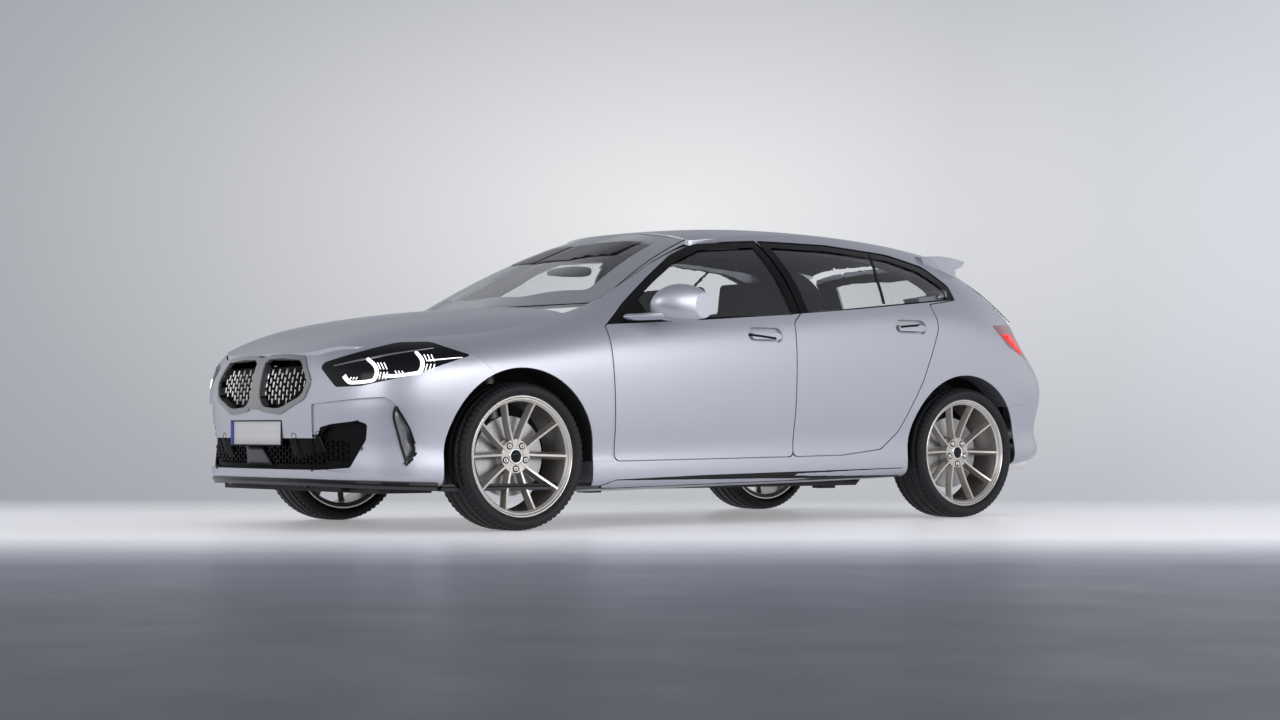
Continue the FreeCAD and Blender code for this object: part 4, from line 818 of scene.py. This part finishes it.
# Splitter under the bumper: black lip, and below it a dark grey edge set back
SPLITTER = [(0.0, 0.222), (0.3, 0.221), (0.6, 0.213), (0.9, 0.203), (1.2, 0.198)]
SPLITTER_STEP, FOOT_LIFT = 0.04, 0.02
LIP_SECTION = [(0.0, 0.008), (0.001, 0.0), (0.0, -0.008), (-0.03, -0.008), (-0.03, 0.008)]
EDGE_SECTION = [(-0.006, -0.008), (-0.01, -0.022), (-0.04, -0.022), (-0.04, -0.008)]
seats = []
for around, height in divided(SPLITTER, SPLITTER_STEP):
    foot, out = from_corner(around, height + FOOT_LIFT)
    out.z = 0
    seats.append((Vector((foot.x, foot.y, height)), out.normalized()))
for side, sign in SIDES:
    swept("splitter_" + side, seats, LIP_SECTION, GLOSS_BLACK, "body", sign < 0)
    swept("splitter_edge_" + side, seats, EDGE_SECTION, DARK_PANEL, "body", sign < 0)

# Sills: black panel along the foot of the side, slanted at its front end
SILL = [(-0.93, 0.178), (-0.8, 0.217), (-0.301, 0.232), (0.931, 0.254), (0.94, 0.211),
        (0.838, 0.21), (0.3, 0.2), (-0.285, 0.189), (-0.8, 0.178)]
plates("sill_panel", SILL, from_side, TRIM, "body", proud=0.0015, depth=0.004)

# Tail lamps: bright centre inside the dark red body
RED_CORE = [(1.65, 0.925), (1.76, 0.93), (1.835, 0.83), (1.8, 0.83)]
plates("tail_core", RED_CORE, from_side, RED_LIGHT, "body", proud=0.002, depth=0.003,
       radius=0.01)

# Glazing of the doors: divider of the rear window and its grey corner
DIVIDER = [(0.932, 1.312), (0.87, 1.19), (0.852, 1.058)]
CORNER_PANE = [(1.247, 1.1), (1.313, 1.108), (1.338, 1.143), (1.278, 1.143)]
both_strips("window_divider", [divided(DIVIDER, LINE_STEP)], on_glazing, TRIM,
            "rear_door_SIDE", width=0.017, rise=0.003)
plates("corner_pane", CORNER_PANE, on_glazing, GREY_FRAME, "rear_door_SIDE", proud=0.001,
       depth=0.002)

# Painted shade: black strips under the door handles stand for the shade in the gaps under them
HANDLE_SHADE_LINES = {"front": [(-0.05, 0.884), (0.02, 0.878), (0.105, 0.869)],
                "rear": [(0.905, 0.944), (0.967, 0.95), (1.06, 0.957)]}
for end in ENDS:
    both_strips("handle_slot_" + end, [divided(HANDLE_SHADE_LINES[end], LINE_STEP)], from_side,
                GLOSS_BLACK, end + "_door_SIDE", width=0.011, rise=0.002)

# Windscreen: dark header on the glass and inside mirror under it, both drawn from above
HEADER = [(0.0, -0.42), (0.215, -0.385), (0.4, -0.31), (0.432, -0.49), (0.244, -0.63),
          (0.0, -0.66)]
INSIDE_MIRROR = [(0.2, -0.72), (0.33, -0.66), (0.433, -0.63), (0.474, -0.669), (0.45, -0.705),
                 (0.366, -0.75), (0.24, -0.76)]
UNDER_GLASS = 0.012


def under_screen(x, y):
    """A place under the windscreen, seen from above."""
    place, normal = from_top(x, y)
    return place - normal * UNDER_GLASS, normal


plates("screen_header", HEADER, from_top, GLOSS_BLACK, "body", proud=0.001, depth=0.002)
plate("inside_mirror", INSIDE_MIRROR, under_screen, GLOSS_BLACK, "body", proud=0, depth=0.01,
      radius=0.03)

# Fins at the sides of the roof's tail: places along the car with the height of the top and,
# behind the foot, of the free underside; the last one is the pointed tip
FIN_INNER, FIN_OUTER, FIN_FLARE = 0.558, 0.622, 0.018
FIN = [(1.3, 1.318), (1.36, 1.325), (1.45, 1.33), (1.526, 1.324), (1.535, 1.322, 1.262),
       (1.585, 1.314, 1.28), (1.606, 1.308, 1.304)]
# How far the feet sink into the roof, and the bevel along the outer edge
SINK_INNER, SINK_OUTER = 0.006, 0.004
BEVEL_ACROSS, BEVEL_DROP, EDGE_DROP = 0.01, 0.001, 0.003


def fin_mesh(name, mirror):
    """A wedge that grows out of the roof rail and ends in a pointed tail."""
    verts = []
    for y, top, *free in FIN:
        foot_in = free[0] if free else from_top(FIN_INNER, y)[0].z - SINK_INNER
        foot_out = free[0] if free else from_top(FIN_OUTER + FIN_FLARE, y)[0].z - SINK_OUTER
        flare = FIN_FLARE * (top - foot_out) / top if free else FIN_FLARE
        verts += [Vector(v) for v in ((FIN_INNER, y, top),
                                      (FIN_OUTER - BEVEL_ACROSS, y, top - BEVEL_DROP),
                                      (FIN_OUTER, y, top - EDGE_DROP),
                                      (FIN_OUTER + flare, y, foot_out),
                                      (FIN_INNER, y, foot_in))]
    faces = loft_faces(0, len(FIN), len(verts) // len(FIN))
    solid_mesh(name, mirrored(verts) if mirror else verts, faces, PAINT, "body", smooth=False)


for side, sign in SIDES:
    fin_mesh("roof_fin_" + side, sign < 0)

# Tyres: points of the section are (share of the radius, share of the half width)
TYRE_SECTION = [(0.775, 0.75), (0.815, 0.84), (0.835, 0.9), (0.85, 0.965), (0.875, 0.99),
                (0.9, 1.0), (0.925, 0.995), (0.94, 0.985), (0.944, 0.965), (0.956, 0.955),
                (0.974, 0.9), (0.985, 0.84), (0.99, 0.76), (0.994, 0.66), (0.97, 0.65),
                (0.97, 0.6), (0.997, 0.59), (0.999, 0.3), (0.972, 0.29), (0.972, 0.22),
                (1.0, 0.21)]
TYRE_TURNS, TREAD_CUTS = 216, 72
# The tread starts and is cut by shares of the radius, its outer blocks start at a share of the
# half width, and it slants by an angle in radians
TREAD_START, CUT_DEPTH, BLOCK_START, TREAD_SKEW = 0.945, 0.02, 0.62, 0.06


def tyre_mesh(name, centre, body):
    """A tyre with sidewall, shoulder blocks and running grooves."""
    profile = TYRE_SECTION + [(r, -x) for r, x in reversed(TYRE_SECTION)]
    verts = []
    for k in range(TYRE_TURNS):
        turn = 2 * math.pi * k / TYRE_TURNS
        cut = k % (TYRE_TURNS // TREAD_CUTS) == 0
        for r, x in profile:
            if cut and r > TREAD_START and abs(x) > BLOCK_START:
                r -= CUT_DEPTH
            on_tread = r > TREAD_START - CUT_DEPTH
            skew = turn + TREAD_SKEW * (1 - abs(x)) if on_tread else turn
            verts.append(centre + Vector((x * TYRE_HALF, r * TYRE_RADIUS * math.cos(skew),
                                          r * TYRE_RADIUS * math.sin(skew))))
    return solid_mesh(name, verts, turned_faces(TYRE_TURNS, len(profile)), RUBBER, body)


# Wheels: points of the rim's bright lip are offsets from the rim's edge and face, those of caps,
# bolts and the black sockets of painted shade round them are (share of the radius, height over
# the hub's face)
HUB_FACE, BOLT_RING, BOLT_COUNT = 0.046, 0.055, 5
CAP_RADIUS, SOCKET_RADIUS, BOLT_RADIUS = 0.036, 0.0155, 0.011
RIM_LIP = [(-0.006, -0.006), (-0.007, 0.0015), (-0.001, 0.0015), (-0.001, -0.006)]
CAP = [(1, -0.004), (1, 0.004), (0.8, 0.006), (0.76, 0.003), (0.2, 0.003)]
CAP_CENTRE = [(0.72, 0.002), (0.72, 0.005), (0.3, 0.0065)]
BOLT_SHADE_SOCKET = [(1, -0.02), (1, 0.0008), (0.5, 0.0012)]
BOLT = [(1, -0.01), (1, 0.003), (0.75, 0.005), (0.5, 0.005), (0.4, 0.001)]


def hub_disc(name, radius, profile, centre, sign, material, body, at=(0, 0), sides=32):
    """A turned cap on the hub whose profile runs from its rim to its middle."""
    verts = []
    for share, height in profile:
        for k in range(sides):
            turn, reach = 2 * math.pi * k / sides, radius * share
            verts.append(centre + Vector((sign * (HUB_FACE + height),
                                          at[0] + reach * math.sin(turn),
                                          at[1] + reach * math.cos(turn))))
    solid_mesh(name, verts, loft_faces(0, len(profile), sides), material, body)


for end in ENDS:
    for side, sign in SIDES:
        label = "%s_%s" % (end, side)
        body = "%s_wheel_%s" % (end, side)
        centre = AXLES[end].copy()
        centre.x *= sign
        tyre = tyre_mesh("tread_" + label, centre, body)
        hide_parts("tyre_" + label)
        face = RIM_FACE - AXLES[end].x
        ring("rim_lip_" + label, [(RIM_RADIUS + r, sign * (face + x)) for r, x in RIM_LIP],
             centre, BRIGHT, body)
        hub_disc("wheel_cap_" + label, CAP_RADIUS, CAP, centre, sign, BRIGHT, body)
        hub_disc("wheel_cap_centre_" + label, CAP_RADIUS, CAP_CENTRE, centre, sign, LAMP_BLACK,
                 body)
        for k in range(BOLT_COUNT):
            turn = 2 * math.pi * (k + 0.5) / BOLT_COUNT
            at = (BOLT_RING * math.sin(turn), BOLT_RING * math.cos(turn))
            # Painted shade: a black socket round each bolt stands for the shade in its recess
            hub_disc("wheel_pocket_%s_%d" % (label, k), SOCKET_RADIUS, BOLT_SHADE_SOCKET, centre,
                     sign, GLOSS_BLACK, body, at, sides=20)
            hub_disc("wheel_bolt_%s_%d" % (label, k), BOLT_RADIUS, BOLT, centre, sign, BRIGHT,
                     body, at, sides=12)


# Light: a world with a glow behind the car, darker above; stops are (place, colour)
GLOW_TOWARDS = Vector((-0.7927, 0.609, 0.0879)).normalized()
GLOW_STRETCH = 1.9
GLOW_ENDS = (0.5, 0.9)
GLOW_STOPS = [(0.0, (0.96, 0.965, 0.975)), (0.06, (0.86, 0.87, 0.89)),
              (0.13, (0.73, 0.74, 0.77)), (0.2, (0.6, 0.615, 0.65)),
              (0.27, (0.5, 0.515, 0.555)), (0.36, (0.42, 0.435, 0.48)), (1.0, (0.3, 0.31, 0.35))]
SKY_STOPS = [(0.0, (0.5, 0.51, 0.55)), (0.48, (0.7, 0.71, 0.76)), (0.54, (1.0, 1.0, 1.0)),
             (0.66, (0.9, 0.905, 0.93)), (0.78, (0.46, 0.47, 0.51)), (1.0, (0.25, 0.255, 0.28))]

# The same glow, dimmer to the left and brighter at the far right of the photograph's view, as
# a share of its lift
VIEW_RIGHT = Vector((0.5989, 0.8008, 0))
LEAN_HALF, LEAN_LIFT = 0.26, 1.3
LEAN_STOPS = [(0.0, 0.64), (0.5, 0.67), (0.75, 0.7), (0.87, 0.8), (1.0, 1.0)]


def make_world():
    """Soft light from all round, darker above, with a pale glow behind the car."""
    world = bpy.data.worlds.new("studio")
    bpy.context.scene.world = world
    world.use_nodes = True
    tree = world.node_tree
    link = tree.links.new
    place = add_node(tree, "TexCoord")
    away = add_node(tree, "VectorMath", "SUBTRACT", {1: GLOW_TOWARDS})
    stretch = add_node(tree, "VectorMath", "MULTIPLY", {1: (1, 1, GLOW_STRETCH)})
    far = add_node(tree, "VectorMath", "LENGTH")
    glow = ramp_of(tree, GLOW_STOPS)
    link(place.outputs["Generated"], away.inputs[0])
    link(away.outputs["Vector"], stretch.inputs[0])
    link(stretch.outputs["Vector"], far.inputs[0])
    link(far.outputs["Value"], glow.inputs["Fac"])
    across = add_node(tree, "VectorMath", "DOT_PRODUCT", {1: VIEW_RIGHT})
    lean = add_node(tree, "MapRange", inputs={"From Min": -LEAN_HALF, "From Max": LEAN_HALF})
    lean_tone = ramp_of(tree, [(at, (light_tone, light_tone, light_tone)) for at, light_tone in LEAN_STOPS])
    lifted = add_node(tree, "VectorMath", "MULTIPLY")
    scaled = add_node(tree, "VectorMath", "SCALE", {"Scale": LEAN_LIFT})
    link(place.outputs["Generated"], across.inputs[0])
    link(across.outputs["Value"], lean.inputs["Value"])
    link(lean.outputs["Result"], lean_tone.inputs["Fac"])
    link(glow.outputs["Color"], lifted.inputs[0])
    link(lean_tone.outputs["Color"], lifted.inputs[1])
    link(lifted.outputs["Vector"], scaled.inputs[0])
    split = add_node(tree, "SeparateXYZ")
    height = add_node(tree, "MapRange", inputs={"From Min": -1})
    sky = ramp_of(tree, SKY_STOPS)
    link(place.outputs["Generated"], split.inputs["Vector"])
    link(split.outputs["Z"], height.inputs["Value"])
    link(height.outputs["Result"], sky.inputs["Fac"])
    near = add_node(tree, "MapRange", inputs={"From Min": GLOW_ENDS[0],
                                              "From Max": GLOW_ENDS[1], "To Min": 1, "To Max": 0})
    link(far.outputs["Value"], near.inputs["Value"])
    mix = add_node(tree, "Mix")
    mix.data_type = "RGBA"
    link(near.outputs["Result"], mix.inputs["Factor"])
    link(sky.outputs["Color"], mix.inputs["A"])
    link(scaled.outputs["Vector"], mix.inputs["B"])
    link(mix.outputs["Result"], tree.nodes["Background"].inputs["Color"])
    tree.nodes["Background"].inputs["Strength"].default_value = 1.0


# Soft boxes: name, place, what it faces, width, height and power
SOFT_BOXES = [("key", (8, 0.5, 2.2), (0, 0, 0.7), 7, 2, 170),
              ("front", (3, -8, 2.5), (0.3, -1, 0.5), 4, 2.5, 80)]


def soft_box(name, place, target, wide, high, power):
    """A soft rectangular light, turned to its target."""
    data = bpy.data.lights.new(name, "AREA")
    data.shape = "RECTANGLE"
    data.size, data.size_y, data.energy = wide, high, power
    lamp = bpy.data.objects.new(name, data)
    bpy.context.scene.collection.objects.link(lamp)
    lamp.location = place
    lamp.rotation_mode = "QUATERNION"
    lamp.rotation_quaternion = (Vector(target) - Vector(place)).to_track_quat("-Z", "Y")


FLOOR_REACH, FLOOR_SIDES = 12, 96
# Along the camera's view, past the middle of the car: the floor's painted light, a bright pool
# under the car and painted shade towards the camera, and how far it has faded into the backdrop.
VIEW_ALONG = Vector((-0.8008, 0.5989, 0))
FLOOR_NEAR, FLOOR_FAR = -9.0, 6.0
FLOOR_PAINTED_LIGHT_STOPS = [(0.0, (0.02, 0.023, 0.035)), (0.2, (0.05, 0.055, 0.075)),
               (0.32, (0.12, 0.13, 0.165)), (0.37, (0.3, 0.31, 0.36)),
               (0.42, (0.62, 0.63, 0.68)), (0.46, (0.88, 0.885, 0.91)),
               (1.0, (0.88, 0.885, 0.91))]
FADE_STOPS = [(0.64, (0, 0, 0)), (0.82, (1, 1, 1))]
FLOOR_GLOW, FLOOR_SPECULAR = 0.3, 0.3


def floor_material():
    """Polished floor with a painted pool of light under the car and painted shade towards the
    camera, in its colour and in its glow.
    """
    made, tree, bsdf = shader("floor")
    link = tree.links.new
    bsdf.inputs["Specular IOR Level"].default_value = FLOOR_SPECULAR
    place = add_node(tree, "TexCoord")
    along = add_node(tree, "VectorMath", "DOT_PRODUCT", {1: VIEW_ALONG})
    scale = add_node(tree, "MapRange", inputs={"From Min": FLOOR_NEAR, "From Max": FLOOR_FAR})
    # Painted light: the floor is brighter under the car and darker towards the camera
    light_tone = ramp_of(tree, FLOOR_PAINTED_LIGHT_STOPS)
    fade = ramp_of(tree, FADE_STOPS)
    link(place.outputs["Object"], along.inputs[0])
    link(along.outputs["Value"], scale.inputs["Value"])
    link(scale.outputs["Result"], light_tone.inputs["Fac"])
    link(scale.outputs["Result"], fade.inputs["Fac"])
    link(light_tone.outputs["Color"], bsdf.inputs["Base Color"])
    link(light_tone.outputs["Color"], bsdf.inputs["Emission Color"])
    path = add_node(tree, "LightPath")
    seen = add_node(tree, "Math", "MAXIMUM")
    gloss = add_node(tree, "Math", "MAXIMUM")
    glow = add_node(tree, "Math", "MULTIPLY", {1: FLOOR_GLOW})
    link(path.outputs["Is Camera Ray"], seen.inputs[0])
    link(path.outputs["Is Transmission Ray"], seen.inputs[1])
    link(seen.outputs["Value"], gloss.inputs[0])
    link(path.outputs["Is Glossy Ray"], gloss.inputs[1])
    link(gloss.outputs["Value"], glow.inputs[0])
    link(glow.outputs["Value"], bsdf.inputs["Emission Strength"])
    grain(tree, bsdf, scale=2.5, bump=0.02, rough=(0.3, 0.45))
    gone = add_node(tree, "BsdfTransparent")
    mix = add_node(tree, "MixShader")
    link(fade.outputs["Color"], mix.inputs["Fac"])
    link(bsdf.outputs["BSDF"], mix.inputs[1])
    link(gone.outputs["BSDF"], mix.inputs[2])
    link(mix.outputs["Shader"], tree.nodes["Material Output"].inputs["Surface"])
    return made


def make_floor():
    """A round level floor."""
    verts = [(FLOOR_REACH * math.cos(2 * math.pi * k / FLOOR_SIDES),
              FLOOR_REACH * math.sin(2 * math.pi * k / FLOOR_SIDES), 0)
             for k in range(FLOOR_SIDES)]
    mesh = bpy.data.meshes.new("floor")
    mesh.from_pydata(verts, [], [tuple(range(FLOOR_SIDES))])
    item = bpy.data.objects.new("floor", mesh)
    bpy.context.scene.collection.objects.link(item)
    mesh.materials.append(floor_material())
    item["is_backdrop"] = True


CAMERA_PLACE, CAMERA_YAW, CAMERA_PITCH = (9.6406, -7.2343, 0.447), 143.2075, 1.6133
SENSOR_WIDTH, LENS = 36, 68.21


def make_camera():
    """The photograph's view: far off, low and on the car's front left."""
    data = bpy.data.cameras.new("camera")
    camera = bpy.data.objects.new("camera", data)
    bpy.context.scene.collection.objects.link(camera)
    camera.location = CAMERA_PLACE
    turn, rise = math.radians(CAMERA_YAW), math.radians(CAMERA_PITCH)
    look = Vector((math.cos(rise) * math.cos(turn), math.cos(rise) * math.sin(turn),
                   math.sin(rise)))
    camera.rotation_mode = "QUATERNION"
    camera.rotation_quaternion = look.to_track_quat("-Z", "Y")
    data.sensor_width = SENSOR_WIDTH
    data.lens = LENS
    bpy.context.scene.camera = camera


make_world()
for values in SOFT_BOXES:
    soft_box(*values)
make_floor()
make_camera()
bpy.context.scene.view_settings.view_transform = "Standard"

low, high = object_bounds()
